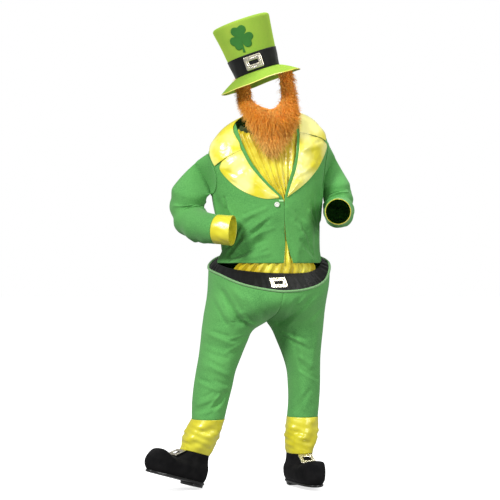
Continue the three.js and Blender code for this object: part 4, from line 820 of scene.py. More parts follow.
def trouserPoint(side, around, step):
    # one half of the trousers: around runs from the front middle round the outside to the back middle; each
    # level is an ellipse (middle + half * sin, depth * cos), joined to the hoop's rim above and a leg below
    around, step = np.broadcast_arrays(around, step)
    at = lambda name: throughTable(trouserRows, "step", name, step)
    leg = "R" if side < 0 else "L"
    isJoined = step < trousers["crotchStep"]
    split = np.clip(at("split"), 0, 1)
    outer, inner = at("out" + leg), at("in" + leg)
    half = np.where(isJoined, outer / (1 + split), (outer - inner) / 2)
    middle = np.where(isJoined, split * half, (outer + inner) / 2)
    start = np.where(isJoined, -np.arcsin(split), -np.pi / 2)
    angle = blendTo(start, np.pi - start, around)
    facing = np.cos(angle)
    depth = np.where(facing > 0, at("front"), at("back"))
    localX = side * (middle + half * np.sin(angle))
    localY = -depth * facing - (at("ahead") if side < 0 else 0)
    turn = trousers["turn"]
    x = trousers["middleX"] + localX * np.cos(turn) - localY * np.sin(turn)
    y = localX * np.sin(turn) + localY * np.cos(turn)
    rim = rimPoint(turn + side * np.pi * around)
    rimZ = rim[..., 2] - hoop["wire"] - trousers["clear"]
    topZ, crotchZ = trouserRows["z"][0], trouserRows["z"][trousers["crotchStep"]]
    z = np.where(isJoined, blendTo(rimZ, crotchZ, (at("z") - topZ) / (crotchZ - topZ)), at("z"))
    join = np.clip(at("join"), 0, 1)
    x, y = blendTo(rim[..., 0], x, join), blendTo(rim[..., 1], y, join)
    fade = easeBetween(step, trousers["foldFrom"], trousers["foldFull"]) * easeBetween(lastTrouserStep - step, 0, 1)
    fade = fade * np.minimum(1, np.abs(facing) * trousers["towardsSide"])
    seam = np.minimum(1, trousers["besideSeam"] * np.minimum(around, 1 - around))
    rise = 0
    for folds in (trouserFolds, trouserCreases):
        for way in (1, -1):
            keep = np.asarray(folds["side"]) == way
            chosen = {k: np.asarray(v, float)[keep] for k, v in folds.items()}
            rise = rise + np.where(facing * way > 0, foldRise(chosen, x, z, "x", "z"), 0)
    y = y - np.sign(facing) * rise * fade * seam
    return point3(x, y, z)


def trouserPanel(side, first, last, columns=54, rows=140):
    # one panel: first + (last - first) * share across, from the hoop down to the ankle, pressed at its seams
    u, v = gridOf(columns, rows)
    points = trouserPoint(side, blendTo(first, last, u if side > 0 else 1 - u), (1 - v) * lastTrouserStep)
    return pressSeams(points, ["left", "right"], trousers["seamDip"], trousers["seamWidth"])


shoeSections = {
    "height": [22, 38, 60, 76, 86, 95, 108, 121, 134],
    "toe": [206, 219, 223, 205, 158, 112, 91, 75, 62],
    "heel": [64, 68, 69, 69, 68, 66, 63, 61, 60],
    "halfWidth": [52, 60, 63, 62, 58, 54, 52, 51, 50],
}
shoe = {
    "wall": 3.0, "squareness": 0.8, "binding": 1.9,
    "right": {"x": -332, "y": -104, "z": -1481, "turn": 216, "pitch": 16},
    "left": {"x": 130, "y": 24, "z": -1496, "turn": -70, "pitch": 0},
    "puffLift": 33, "puffMiddle": 174, "puffReach": 42, "puffLowZ": 42, "puffHighZ": 78,
}
ankle = {
    "wall": 1.6, "fullness": 7, "creases": 5, "creaseDepth": 3.5, "clear": 0.5, "slant": 3.4, "counterSlant": 2.0,
}


def shoePoint(around, level, spread=0.0):
    # egg-shaped section: reach * |cos|^squareness along, halfWidth * |sin|^squareness across, and a bell-shaped
    # lift over the toes
    around, level = np.broadcast_arrays(around, level)
    table = {"step": np.arange(len(shoeSections["height"])), **shoeSections}
    at = lambda name: throughTable(table, "step", name, level)
    c, s = np.cos(around), np.sin(around)
    reach = np.where(c > 0, at("toe"), at("heel")) + spread
    x = np.sign(c) * np.abs(c) ** shoe["squareness"] * reach
    y = np.sign(s) * np.abs(s) ** shoe["squareness"] * (at("halfWidth") + spread)
    height = at("height")
    puffed = shoe["puffLift"] * np.exp(-(((x - shoe["puffMiddle"]) / shoe["puffReach"]) ** 2))
    return point3(x, y, height + puffed * easeBetween(height, shoe["puffLowZ"], shoe["puffHighZ"]))


def turnAbout(axis, degrees):
    # the matrix of a turn about x, y or z: cosines and sines of the angle
    c, s = np.cos(np.radians(degrees)), np.sin(np.radians(degrees))
    turns = {
        "x": [[1, 0, 0], [0, c, -s], [0, s, c]],
        "y": [[c, 0, s], [0, 1, 0], [-s, 0, c]],
        "z": [[c, -s, 0], [s, c, 0], [0, 0, 1]],
    }
    return np.array(turns[axis])


def shoeToWorld(name, points):
    # place + turn about z * lift of the toe about y * point
    place = shoe[name]
    turned = points @ (turnAbout("z", place["turn"]) @ turnAbout("y", -place["pitch"])).T
    return turned + [place["x"], place["y"], place["z"]]


def legMiddle(side):
    # mean of twelve points round the trouser's lower end
    return trouserPoint(side, np.arange(12) / 12, lastTrouserStep).mean(0)


def ankleCuff(side, columns=96, rows=44):
    # shoe's edge + (leg's edge - shoe's edge) * share, moved out by sin(pi * share) * (fullness + creases)
    u, v = gridOf(columns, rows)
    name = "right" if side < 0 else "left"
    around = u if side < 0 else 1 - u
    leg = trouserPoint(side, around, np.full_like(u, lastTrouserStep)) - [0, 0, ankle["clear"]]
    middle = legMiddle(side)
    heading = np.arctan2(leg[..., 1] - middle[1], leg[..., 0] - middle[0]) - np.radians(shoe[name]["turn"])
    foot = shoeToWorld(name, shoePoint(heading, len(shoeSections["height"]) - 1.0) + [0, 0, ankle["clear"]])
    bulge = np.sin(np.pi * np.clip(v, 0, 1))
    angle, height = 2 * np.pi * u, 2 * np.pi * v
    crease = ankle["creaseDepth"] * np.sin(ankle["creases"] * angle + 5 * v)
    # crumples that run slantwise round the ankle and die out
    small = ankle["slant"] * np.sin(2.2 * height + 2 * angle + 1.7 * np.sin(angle)) * np.sin(angle + 1 + 3 * v)
    small = small + ankle["counterSlant"] * np.sin(5 * height - 3 * angle + 2) * np.sin(2 * angle - 4 * v)
    outward = unit(leg - [middle[0], middle[1], 0] - [0, 0, 1] * leg[..., 2:])
    return blendTo(foot, leg, v) + outward * (bulge * (ankle["fullness"] + crease + small))[..., None]


hat = {
    "x": -44, "y": -22, "z": 218, "lean": 19, "nod": 2,
    "baseX": 93, "baseY": 106, "topX": 124, "topY": 132, "height": 220, "edge": 14, "wall": 3.0,
    "brimX": 171, "brimY": 184, "drop": 42, "dropPower": 1.25, "gap": 0.6,
    "edgeShare": 0.3, "dome": 3, "thread": 2.1, "sideWaves": [(1.6, 2, 0, 1)], "topWaves": [(1, 5, 4, 0)],
    "brimWaves": [(1.8, 3, 0, 0.5), (1.1, 7, 0, 0)], "bandWaves": [(0.5, 6, 7, 0), (0.35, 15, -5, 0)],
    "bandBottom": 1.5, "bandTop": 75, "bandProud": 0.5, "bandWall": 2.0,
}


def hatToWorld(points):
    # place + lean about y * nod about x * point
    return points @ (turnAbout("y", -hat["lean"]) @ turnAbout("x", hat["nod"])).T + [hat["x"], hat["y"], hat["z"]]


def crownPoint(turn, height, out=0.0):
    # ellipse whose half widths go evenly from the base to the top: base + (top - base) * height / full height
    part = height / hat["height"]
    halfX = blendTo(hat["baseX"], hat["topX"], part) + out
    halfY = blendTo(hat["baseY"], hat["topY"], part) + out
    return point3(halfX * np.sin(turn), -halfY * np.cos(turn), height)


def crownShell(columns=112, rows=56):
    # the side up to half of v, then a quarter-round edge and a slightly domed top shrinking to its middle,
    # with soft waves of the felt
    u, v = gridOf(columns, rows)
    turn = 2 * np.pi * u
    straight = hat["height"] - hat["edge"]
    side = crownPoint(turn, np.minimum(v / 0.5, 1) * straight)
    bend = np.clip((v - 0.5) / 0.5, 0, 1)
    corner = np.minimum(bend / hat["edgeShare"], 1) * np.pi / 2
    top = crownPoint(turn, straight + hat["edge"] * np.sin(corner), -hat["edge"] * (1 - np.cos(corner)))
    shrink = np.where(bend <= hat["edgeShare"], 1, 1 - (bend - hat["edgeShare"]) / (1 - hat["edgeShare"]))
    top = top * shrink[..., None] ** [1, 1, 0] + point3(0, 0, hat["dome"] * (1 - shrink**2))
    points = np.where((v <= 0.5)[..., None], side, top)
    soft = ripples(hat["sideWaves"], turn) * np.sin(np.pi * np.minimum(v / 0.5, 1)) + ripples(hat["topWaves"], turn, v)
    soft = soft * easeBetween(v, 0.22, 0.35) * easeBetween(1 - v, 0.1, 0.4)
    return hatToWorld(points + point3(np.sin(turn), -np.cos(turn), 0) * soft[..., None])


def brimShell(columns=150, rows=24):
    # ellipse growing from the crown to the brim's edge, falling by drop * share^dropPower, with soft waves
    u, v = gridOf(columns, rows)
    turn = 2 * np.pi * u
    out = 1 - v
    halfX = blendTo(hat["baseX"] + hat["gap"], hat["brimX"], out)
    halfY = blendTo(hat["baseY"] + hat["gap"], hat["brimY"], out)
    soft = ripples(hat["brimWaves"], turn) * out**2
    height = soft - hat["drop"] * out ** hat["dropPower"]
    return hatToWorld(point3(halfX * np.sin(turn), -halfY * np.cos(turn), height))


def bandShell(columns=180, rows=16):
    # the crown's side moved out by the band's wall, plus two slanting waves
    u, v = gridOf(columns, rows)
    turn = 2 * np.pi * u
    wrinkle = ripples(hat["bandWaves"], turn, v) * np.sin(np.pi * v)
    height = blendTo(hat["bandBottom"], hat["bandTop"], v)
    return hatToWorld(crownPoint(turn, height, hat["bandProud"] + hat["bandWall"] + wrinkle))


shamrock = {
    "turn": -12, "height": 146, "size": 53, "notch": 0.2, "wall": 1.5, "stand": 1.3,
    "notchWidth": 0.22, "roundness": 3.2,
    "stalkTurn": 0.12, "stalkHalfTurn": 0.09, "stalkReach": 1.12, "middle": 0.2, "bow": 6, "cut": (0.1, 0.11),
}


def shamrockShell(columns=200, rows=10):
    # three heart-shaped leaves and a stalk, as one reach for each angle: middle + (1 - middle) * sqrt(1 - off^p),
    # less a bell-shaped notch at each leaf's tip
    u, v = gridOf(columns, rows)
    angle = 2 * np.pi * u
    leaf = ((angle - np.pi / 6) / (2 * np.pi) * 3) % 1
    fromMiddle = np.abs(leaf - 0.5) * 2
    heart = 1 - shamrock["notch"] * np.exp(-((fromMiddle / shamrock["notchWidth"]) ** 2))
    edge = np.sqrt(np.maximum(0, 1 - fromMiddle ** shamrock["roundness"]))
    aside = angle + np.pi / 2 + shamrock["stalkTurn"]
    isStalk = np.abs(np.arctan2(np.sin(aside), np.cos(aside))) < shamrock["stalkHalfTurn"]
    stalk = np.where(isStalk, shamrock["stalkReach"], 0)
    middle = shamrock["middle"]
    reach = shamrock["size"] * np.maximum(middle + (1 - middle) * heart * edge, stalk) * (1 - v)
    turn = np.radians(shamrock["turn"]) + reach * np.cos(angle) / ((hat["baseX"] + hat["topX"]) / 2 + shamrock["bow"])
    height = shamrock["height"] + reach * np.sin(angle)
    return hatToWorld(crownPoint(turn, height, shamrock["stand"] + shamrock["wall"]))


beard = {
    "depth": 22, "bulge": 20, "clear": 3, "lowZ": -60, "highZ": 30, "topZ": 50, "freeLowZ": 20, "freeHighZ": 70,
    "edgeShare": 0.45, "edgePower": 0.7,
}
beardRows = {
    "step": [0, 1, 2, 3, 4, 5, 6, 7, 8, 9, 10, 11, 12],
    "inX": [-88, -74, -71, -58, -34, -6, 8, 28, 44, 54, 52, 46, 34],
    "inY": [-70, -70, -82, -100, -116, -124, -124, -118, -106, -92, -80, -74, -72],
    "inZ": [191.6, 148, 108, 86, 70, 60, 57, 63, 78, 108, 150, 190, 231.6],
    "outX": [-128.8, -117, -110, -92, -68, -36, 18, 64, 98, 118, 112, 104, 92],
    "outY": [-22, -28, -44, -76, -108, -132, -146, -138, -112, -74, -44, -28, -22],
    "outZ": [189.6, 128, 83, 44, -2, -50, -112, -58, -12, 32, 92, 150, 227.6],
}


def beardDepth(v):
    # share + (1 - share) * sin(pi v)^power of the full depth
    inward = np.sin(np.pi * np.clip(v, 0, 1)) ** beard["edgePower"]
    return beard["depth"] * blendTo(beard["edgeShare"], 1, inward)


def beardSurface(u, v):
    # u runs from one upper end round the tip to the other, v from the outer edge to the opening;
    # y is the smaller of two: resting on the chest less the fur's depth, or hanging free, less sin(pi v) * bulge
    at = lambda name: throughTable(beardRows, "step", name, u * (len(beardRows["step"]) - 1))
    x, z = blendTo(at("outX"), at("inX"), v), blendTo(at("outZ"), at("inZ"), v)
    hanging = easeBetween(z, beard["lowZ"], beard["highZ"])
    bulge = beard["bulge"] * np.sin(np.pi * np.clip(v, 0, 1)) * hanging
    turn, height = frontPlace(x, np.minimum(z, beard["topZ"]))
    chest = torsoPoint(turn, np.minimum(height, beard["topZ"]), beard["clear"] - shirt["setIn"])[..., 1]
    resting = chest - beardDepth(v)
    free = blendTo(at("outY"), at("inY"), v)
    lifted = blendTo(resting, 0, easeBetween(z, beard["freeLowZ"], beard["freeHighZ"]))
    return point3(x, np.minimum(blendTo(resting, free, hanging), lifted) - bulge, z)


fur = {
    "strands": 5000, "long": 27, "width": 1.15, "tipWidth": 0.12, "flow": 0.8, "down": 0.4, "rise": 0.7, "stray": 0.75,
    "curl": 4.8, "rootDepth": 2.5, "shortDown": -60, "longDown": 110, "edgePower": 2.2,
    "shortest": 0.55, "spread": 0.8, "above": 0.85, "below": 0.6, "leastCurl": 0.4,
    "leastWidth": 0.6, "widthSpread": 0.7, "taper": 0.6,
    "pale": 0.12, "paleEdge": 0.5, "paleBelow": 0.5, "paleStray": 0.18, "paleMiddle": 0.45,
    "paleFrom": 0.2, "paleTo": 0.55,
}
furSteps = np.array([0, 0.22, 0.48, 0.75, 1.0])


def furStrands(name, edgeward):
    # root + length * (direction t - up t^2 / 3) + curl t * (side sin + other cos); the direction mixes the way
    # from the opening to the outer edge, straight down, the fur's own normal and a random part
    count = fur["strands"]
    u = seed.random(count)
    v = seed.random(count) ** (fur["edgePower"] if edgeward else 1.0)
    small = 1e-3
    along = beardSurface(u + small, v) - beardSurface(u - small, v)
    inward = beardSurface(u, v + small) - beardSurface(u, v - small)
    normal = unit(np.cross(along, inward))
    stray = seed.normal(size=(count, 3))
    way = unit(-unit(inward) * fur["flow"] + normal * fur["rise"] + [0, 0, -fur["down"]] + stray * fur["stray"])
    root = beardSurface(u, v) - normal * fur["rootDepth"]
    lowness = easeBetween(-root[:, 2], fur["shortDown"], fur["longDown"])
    length = fur["long"] * (fur["shortest"] + fur["spread"] * seed.random(count))
    length = length * (fur["above"] + fur["below"] * lowness)
    side = unit(np.cross(way, seed.normal(size=(count, 3))))
    other = np.cross(way, side)
    phase = seed.random((count, 1)) * 2 * np.pi
    t = furSteps[None]
    curl = fur["curl"] * (fur["leastCurl"] + seed.random((count, 1))) * t
    bent = way[:, None] * t[..., None] - np.array(straightUp) / 3 * t[..., None] ** 2
    paths = root[:, None] + length[:, None, None] * bent
    paths = paths + (curl * np.sin(5 * t + phase))[..., None] * side[:, None]
    paths = paths + (curl * np.cos(6 * t + phase))[..., None] * other[:, None]
    widths = fur["width"] * (fur["leastWidth"] + fur["widthSpread"] * seed.random((count, 1)))
    widths = widths * (1 - t) ** fur["taper"] + fur["tipWidth"]
    # shade of the strand in the first direction, root to tip in the second
    paleness = fur["pale"] + fur["paleBelow"] * lowness + fur["paleStray"] * seed.normal(size=count)
    paleness = paleness + fur["paleEdge"] * easeBetween(np.abs(v - fur["paleMiddle"]), fur["paleFrom"], fur["paleTo"])
    uvs = np.stack(np.broadcast_arrays(np.clip(paleness, 0, 1)[:, None], t), -1)
    return strandMesh(name, paths, side, other, widths, uvs)


def plateFrame(nodeName):
    # a flat solid's middle and its three directions: out is the one of least spread, and the two others are turned
    # about it from upright until the box round the corners is smallest
    mesh = bpy.data.objects[nodeName].data
    corners = np.empty(len(mesh.vertices) * 3)
    mesh.vertices.foreach_get("co", corners)
    corners = corners.reshape(-1, 3) * 1000
    out = np.linalg.eigh(np.cov(corners.T))[1][:, 0]
    out = out * np.sign(out @ lookingOut)
    side = unit(np.cross(straightUp, out))
    turns = np.radians(np.arange(-45, 45.1, 0.125))[:, None]
    sides = side * np.cos(turns) + np.cross(out, side) * np.sin(turns)
    spans = np.ptp(corners @ sides.T, axis=0) * np.ptp(corners @ np.cross(out, sides).T, axis=0)
    side = sides[spans.argmin()]
    basis = np.stack([side, np.cross(out, side), out])
    local = corners @ basis.T
    return (local.min(0) + local.max(0)) / 2 @ basis, basis


buckle = {
    "sizes": {"hat_buckle": (74, 56, 38, 16), "belt_buckle": (70, 56, 34, 18)},
    "thick": 3.2, "corner": 6, "holeCorner": 2, "beads": 46, "beadHeight": 0.9, "columns": 368,
    "channel": 0.8, "beadMiddle": 0.48, "beadReach": 0.15, "seat": 1.5,
    "shares": [0, 0, 0.06, 0.16, 0.28, 0.36, 0.44, 0.52, 0.6, 0.68, 0.8, 0.92, 1, 1, 0.5, 0],
    "heights": [0, 0.6, 0.86, 1, 0.8, 0.8, 0.8, 0.8, 0.8, 0.8, 1, 0.9, 0.6, 0, 0, 0],
}
buckle["sizes"]["shoe_buckle_right"] = buckle["sizes"]["shoe_buckle_left"] = (66, 56, 34, 22)


def roundedLoop(width, height, radius, count):
    # corners middle + radius * (cos, sin), joined by straight sides, evenly spaced by length
    quarter = np.linspace(0, np.pi / 2, 9)
    loop = []
    for k, (x, y) in enumerate(((1, 1), (-1, 1), (-1, -1), (1, -1))):
        turn = quarter + k * np.pi / 2
        middle = [x * (width / 2 - radius), y * (height / 2 - radius)]
        loop.append(middle + radius * np.stack([np.cos(turn), np.sin(turn)], 1))
    loop = np.concatenate(loop + [loop[0][:1]])
    run = np.concatenate([[0], np.cumsum(np.linalg.norm(np.diff(loop, axis=0), axis=-1))])
    at = np.linspace(0, run[-1], count + 1)
    return np.stack([np.interp(at, run, loop[:, k]) for k in (0, 1)], 1)


def bucklePlate(nodeName):
    # a frame between two rounded loops: outer + (inner - outer) * share, bevelled rims, and between them a sunk
    # channel with a row of beads, each |sin(pi * beads * share along)| * (1 - (distance across / reach)^2)
    width, height, holeWidth, holeHeight = buckle["sizes"][nodeName]
    outer = roundedLoop(width, height, buckle["corner"], buckle["columns"])
    inner = roundedLoop(holeWidth, holeHeight, buckle["holeCorner"], buckle["columns"])
    share, level = np.array(buckle["shares"])[:, None], np.array(buckle["heights"])[:, None]
    flat = outer[None] + (inner - outer)[None] * share[..., None]
    along = np.linspace(0, 1, buckle["columns"] + 1)[None]
    across = np.maximum(0, 1 - ((share - buckle["beadMiddle"]) / buckle["beadReach"]) ** 2)
    bead = np.abs(np.sin(np.pi * buckle["beads"] * along)) * across
    rise = buckle["thick"] * level + buckle["beadHeight"] * bead * (level == buckle["channel"])
    middle, basis = plateFrame(nodeName)
    local = np.concatenate([flat, (rise - buckle["seat"])[..., None]], -1)
    return gridSolid(nodeName + "_plate", middle + local @ basis, endsMeet=True)


button = {
    "radius": 11, "thick": 4, "columns": 48,
    "reach": [0, 0.2, 0.42, 0.58, 0.72, 0.86, 0.97, 1, 0.9, 0.72, 0],
    "height": [0.5, 0.48, 0.55, 0.8, 1, 0.98, 0.75, 0.4, 0.12, 0, 0],
}


def buttonDisc():
    # a profile turned about the button's axis, (reach * cos, reach * sin, height): dished middle, round rim
    reach, height = (np.array(button[name])[:, None] for name in ("reach", "height"))
    turn = np.linspace(0, 2 * np.pi, button["columns"] + 1)[None]
    middle, basis = plateFrame("button")
    flat = button["radius"] * reach
    local = point3(flat * np.cos(turn), flat * np.sin(turn), button["thick"] * (height - 0.5))
    return gridSolid("button_disc", middle + local @ basis)


loop = {"x": 52, "z": -318, "halfWidth": 9, "halfHeight": 3.5, "stand": 0.7, "crown": 0.5}


def loopTape(columns=24, rows=10):
    # a short tape on the jacket's surface, crowned across by crown * sin(pi * share)
    u, v = gridOf(columns, rows)
    turn, z = frontPlace(loop["x"] + (2 * u - 1) * loop["halfWidth"], loop["z"] + (2 * v - 1) * loop["halfHeight"])
    return torsoPoint(turn, z, jacket["wall"] + loop["stand"] + loop["crown"] * np.sin(np.pi * v))


# rings of height and spread from below to above, and the shares that the toe half and the width keep
soles = {
    "sole": {
        "height": [12, 12, 12.8, 14.5, 16, 16.8, 17.6, 20.8, 21.6, 21.6],
        "spread": [-30, -2, 0.5, 3.4, 4, 3.2, 4, 4, 3, -30],
        "toeward": 1, "across": 1,
    },
    "heel": {
        "height": [0, 0, 0.8, 4, 4.5, 5, 8, 8.5, 9, 11.7, 11.7],
        "spread": [-30, -1, 0.2, 0.9, 0.3, 1.1, 1.5, 0.9, 1.7, 2, -30],
        "toeward": 0.06, "across": 0.92,
    },
}


def soleSolid(name, label, columns=120):
    # rings of the shoe's lowest outline spread outwards, from below to above, closed by a pole at each end
    rings = soles[label]
    height, spread = (np.array(rings[key], float)[:, None] for key in ("height", "spread"))
    ring = shoePoint(np.linspace(0, 2 * np.pi, columns + 1)[None], 0.0, spread)
    x = np.where(ring[..., 0] > 0, ring[..., 0] * rings["toeward"], ring[..., 0])
    points = point3(x, ring[..., 1] * rings["across"], height)
    pole = lambda row: np.broadcast_to(points[row, :-1].mean(0), points[row].shape)[None]
    points = np.concatenate([pole(0), points, pole(-1)])
    return gridSolid(f"shoe_{label}_{name}_solid", shoeToWorld(name, points))


def node(tree, kind, **values):
    # a shader node whose properties or sockets are set by name, an underscore standing for a space
    made = tree.nodes.new(kind)
    for key, value in values.items():
        if hasattr(made, key):
            setattr(made, key, value)
        else:
            made.inputs[key.replace("_", " ")].default_value = value
    return made


def mixed(tree, factor, low, high):
    # low + (high - low) * factor, for colours or sockets
    mix = tree.nodes.new("ShaderNodeMix")
    mix.data_type = "RGBA"
    tree.links.new(factor, mix.inputs[0])
    for socket, value in ((mix.inputs[6], low), (mix.inputs[7], high)):
        if hasattr(value, "links"):
            tree.links.new(value, socket)
        else:
            socket.default_value = (*value, 1)
    return mix.outputs[2]


def patch(tree, coordinates, scale, low, high, detail=3.0):
    # noise brought between two levels: (noise - low) / (high - low), from 0 to 1
    noise = node(tree, "ShaderNodeTexNoise", Scale=scale, Detail=detail)
    tree.links.new(coordinates, noise.inputs["Vector"])
    reach = node(tree, "ShaderNodeMapRange", From_Min=low, From_Max=high)
    tree.links.new(noise.outputs["Fac"], reach.inputs["Value"])
    return reach.outputs["Result"]


def bumps(tree, heights):
    # bump nodes one after another: each is a height socket, a strength and a distance in metres
    normal = None
    for height, strength, distance in heights:
        bump = node(tree, "ShaderNodeBump", Strength=strength, Distance=distance)
        tree.links.new(height, bump.inputs["Height"])
        if normal is not None:
            tree.links.new(normal, bump.inputs["Normal"])
        normal = bump.outputs["Normal"]
    return normal


def startMaterial(name, **sockets):
    # a material's shader with its even values, and the two coordinates that patterns use: object and cloth
    material = bpy.data.materials.new(name)
    material.use_nodes = True
    tree = material.node_tree
    for key, value in sockets.items():
        tree.nodes["Principled BSDF"].inputs[key.replace("_", " ")].default_value = value
    place = tree.nodes.new("ShaderNodeTexCoord").outputs["Object"]
    flat = node(tree, "ShaderNodeUVMap", uv_map="cloth").outputs["UV"]
    return material, tree, place, flat


waveUnit = 0.314


def threads(tree, flat, pitch, direction, distortion=0.0):
    # one set of threads: a sine across the flat cloth, of frequency 1 / pitch, the pitch in metres; the wave node
    # makes 20 / (2 pi) waves a unit at scale 1
    wave = node(tree, "ShaderNodeTexWave", Scale=waveUnit / pitch, Distortion=distortion)
    wave.bands_direction = direction
    tree.links.new(flat, wave.inputs["Vector"])
    return wave.outputs["Fac"]


def multiplied(tree, a, b):
    # a * b of two sockets
    product = node(tree, "ShaderNodeMath", operation="MULTIPLY")
    tree.links.new(a, product.inputs[0])
    tree.links.new(b, product.inputs[1])
    return product.outputs[0]


# a look: the shader's even values; noises as scale, low level, high level and detail; threads as pitch in metres,
# direction and distortion; the share of the light colour that the second noise goes to; bumps in order as
# pattern, strength and metres
looks = {
    "jersey": {  # fine stocking knit, wales across and courses up, with a faint mottling
        "shader": {"Roughness": 0.86, "Sheen_Weight": 0.25, "Sheen_Roughness": 0.5, "Specular_IOR_Level": 0.25},
        "sheen": (0.75, 1, 0.7),
        "noises": {"broad": (9, 0.3, 0.7), "fine": (260, 0.35, 0.65), "pull": (34, 0.3, 0.7)},
        "threads": {"wales": (0.0013, "X", 1.5), "courses": (0.0017, "Y", 2.0)},
        "second": 1.12,
        "bumps": {"pull": (0.25, 0.0012), "knit": (0.35, 0.0003)},
    },
    "satin": {  # fine floats across and soft hollows that catch the light; the paler patches of its broad noise are painted highlights, the soft sheen of satin put into the colour
        "shader": {"Roughness": 0.3, "Sheen_Weight": 0.1, "Specular_IOR_Level": 0.9},
        "noises": {"broad": (8, 0.42, 0.62), "soft": (22, 0.2, 0.8, 2.0), "small": (75, 0.25, 0.75, 2.0)},
        "threads": {"weave": (0.0006, "Y", 1.0)},
        "bumps": {"soft": (0.4, 0.006), "small": (0.1, 0.0015), "weave": (0.12, 0.0001)},
    },
    "felt": {  # matted fibres: lumps, and short fibres over them
        "shader": {"Roughness": 0.95, "Sheen_Weight": 0.5, "Sheen_Roughness": 0.6, "Specular_IOR_Level": 0.15},
        "noises": {"broad": (12, 0.3, 0.7), "fine": (420, 0.3, 0.7), "lumps": (60, 0.3, 0.7)},
        "second": 0.86,
        "bumps": {"lumps": (0.3, 0.001), "fine": (0.5, 0.0005)},
    },
    "velour": {  # short pile that lies different ways in soft patches
        "shader": {"Roughness": 0.9, "Sheen_Weight": 0.16, "Sheen_Roughness": 0.35, "Specular_IOR_Level": 0.15},
        "sheen": (0.35, 0.35, 0.37),
        "noises": {"broad": (26, 0.35, 0.65), "pile": (520, 0.3, 0.7)},
        "bumps": {"broad": (0.2, 0.001), "pile": (0.5, 0.0004)},
    },
    "metal": {  # cast and plated, with small hammering, and duller in patches
        "shader": {"Roughness": 0.3, "Metallic": 1.0},
        "noises": {"broad": (120, 0.35, 0.7), "hammer": (340, 0.3, 0.7)},
        "roughness": (0.2, 0.42),
        "bumps": {"hammer": (0.12, 0.0003)},
    },
    "plastic": {  # moulded, with a faint grain and scuffs
        "shader": {"Roughness": 0.28, "Coat_Weight": 0.3, "Coat_Roughness": 0.15},
        "noises": {"broad": (55, 0.4, 0.7), "grain": (600, 0.3, 0.7)},
        "bumps": {"grain": (0.15, 0.0002)},
    },
    "fur": {  # strands, whose shade and colour from root to tip are in the flat map
        "shader": {"Roughness": 0.55, "Sheen_Weight": 0.8, "Sheen_Roughness": 0.5, "Specular_IOR_Level": 0.2},
        "sheen": (1, 0.5, 0.15),
        "noises": {"strand": (500, 0.3, 0.7)},
        "bumps": {"strand": (0.2, 0.0003)},
    },
}
feltSheen = 1.6  # of its light colour


def lookOf(kind, name, dark, light, tip=None, scale=None, crumple=1.0, **changes):
    # colour: dark + (light - dark) * broad noise, then towards light * share by the fine noise; a strand's is mixed by
    # the flat map instead, root to middle by its second direction and to the tip by its first
    look = looks[kind]
    material, tree, place, flat = startMaterial(name, **{**look["shader"], **changes})
    shader = tree.nodes["Principled BSDF"]
    sheen = [min(1, c * feltSheen) for c in light] if kind == "felt" else look.get("sheen", (1, 1, 1))
    shader.inputs["Sheen Tint"].default_value = (*sheen, 1)
    noises = dict(look["noises"])
    if scale:
        noises["broad"] = (scale, *noises["broad"][1:])
    patterns = {key: patch(tree, place, *values) for key, values in noises.items()}
    patterns.update({key: threads(tree, flat, *values) for key, values in look.get("threads", {}).items()})
    if "courses" in patterns:
        patterns["knit"] = multiplied(tree, patterns["wales"], patterns["courses"])
    if tip:
        parts = tree.nodes.new("ShaderNodeSeparateXYZ")
        tree.links.new(flat, parts.inputs[0])
        colour = mixed(tree, parts.outputs["X"], mixed(tree, parts.outputs["Y"], dark, light), tip)
    else:
        colour = mixed(tree, patterns["broad"], dark, light)
    if "second" in look:
        colour = mixed(tree, patterns["fine"], colour, [min(1, look["second"] * c) for c in light])
    if "roughness" in look:
        rough = node(tree, "ShaderNodeMapRange", To_Min=look["roughness"][0], To_Max=look["roughness"][1])
        tree.links.new(patterns["broad"], rough.inputs["Value"])
        tree.links.new(rough.outputs["Result"], shader.inputs["Roughness"])
    tree.links.new(colour, shader.inputs["Base Color"])
    share = {"soft": crumple, "small": crumple}
    heights = [(patterns[key], values[0] * share.get(key, 1), values[1]) for key, values in look["bumps"].items()]
    tree.links.new(bumps(tree, heights), shader.inputs["Normal"])
    return material


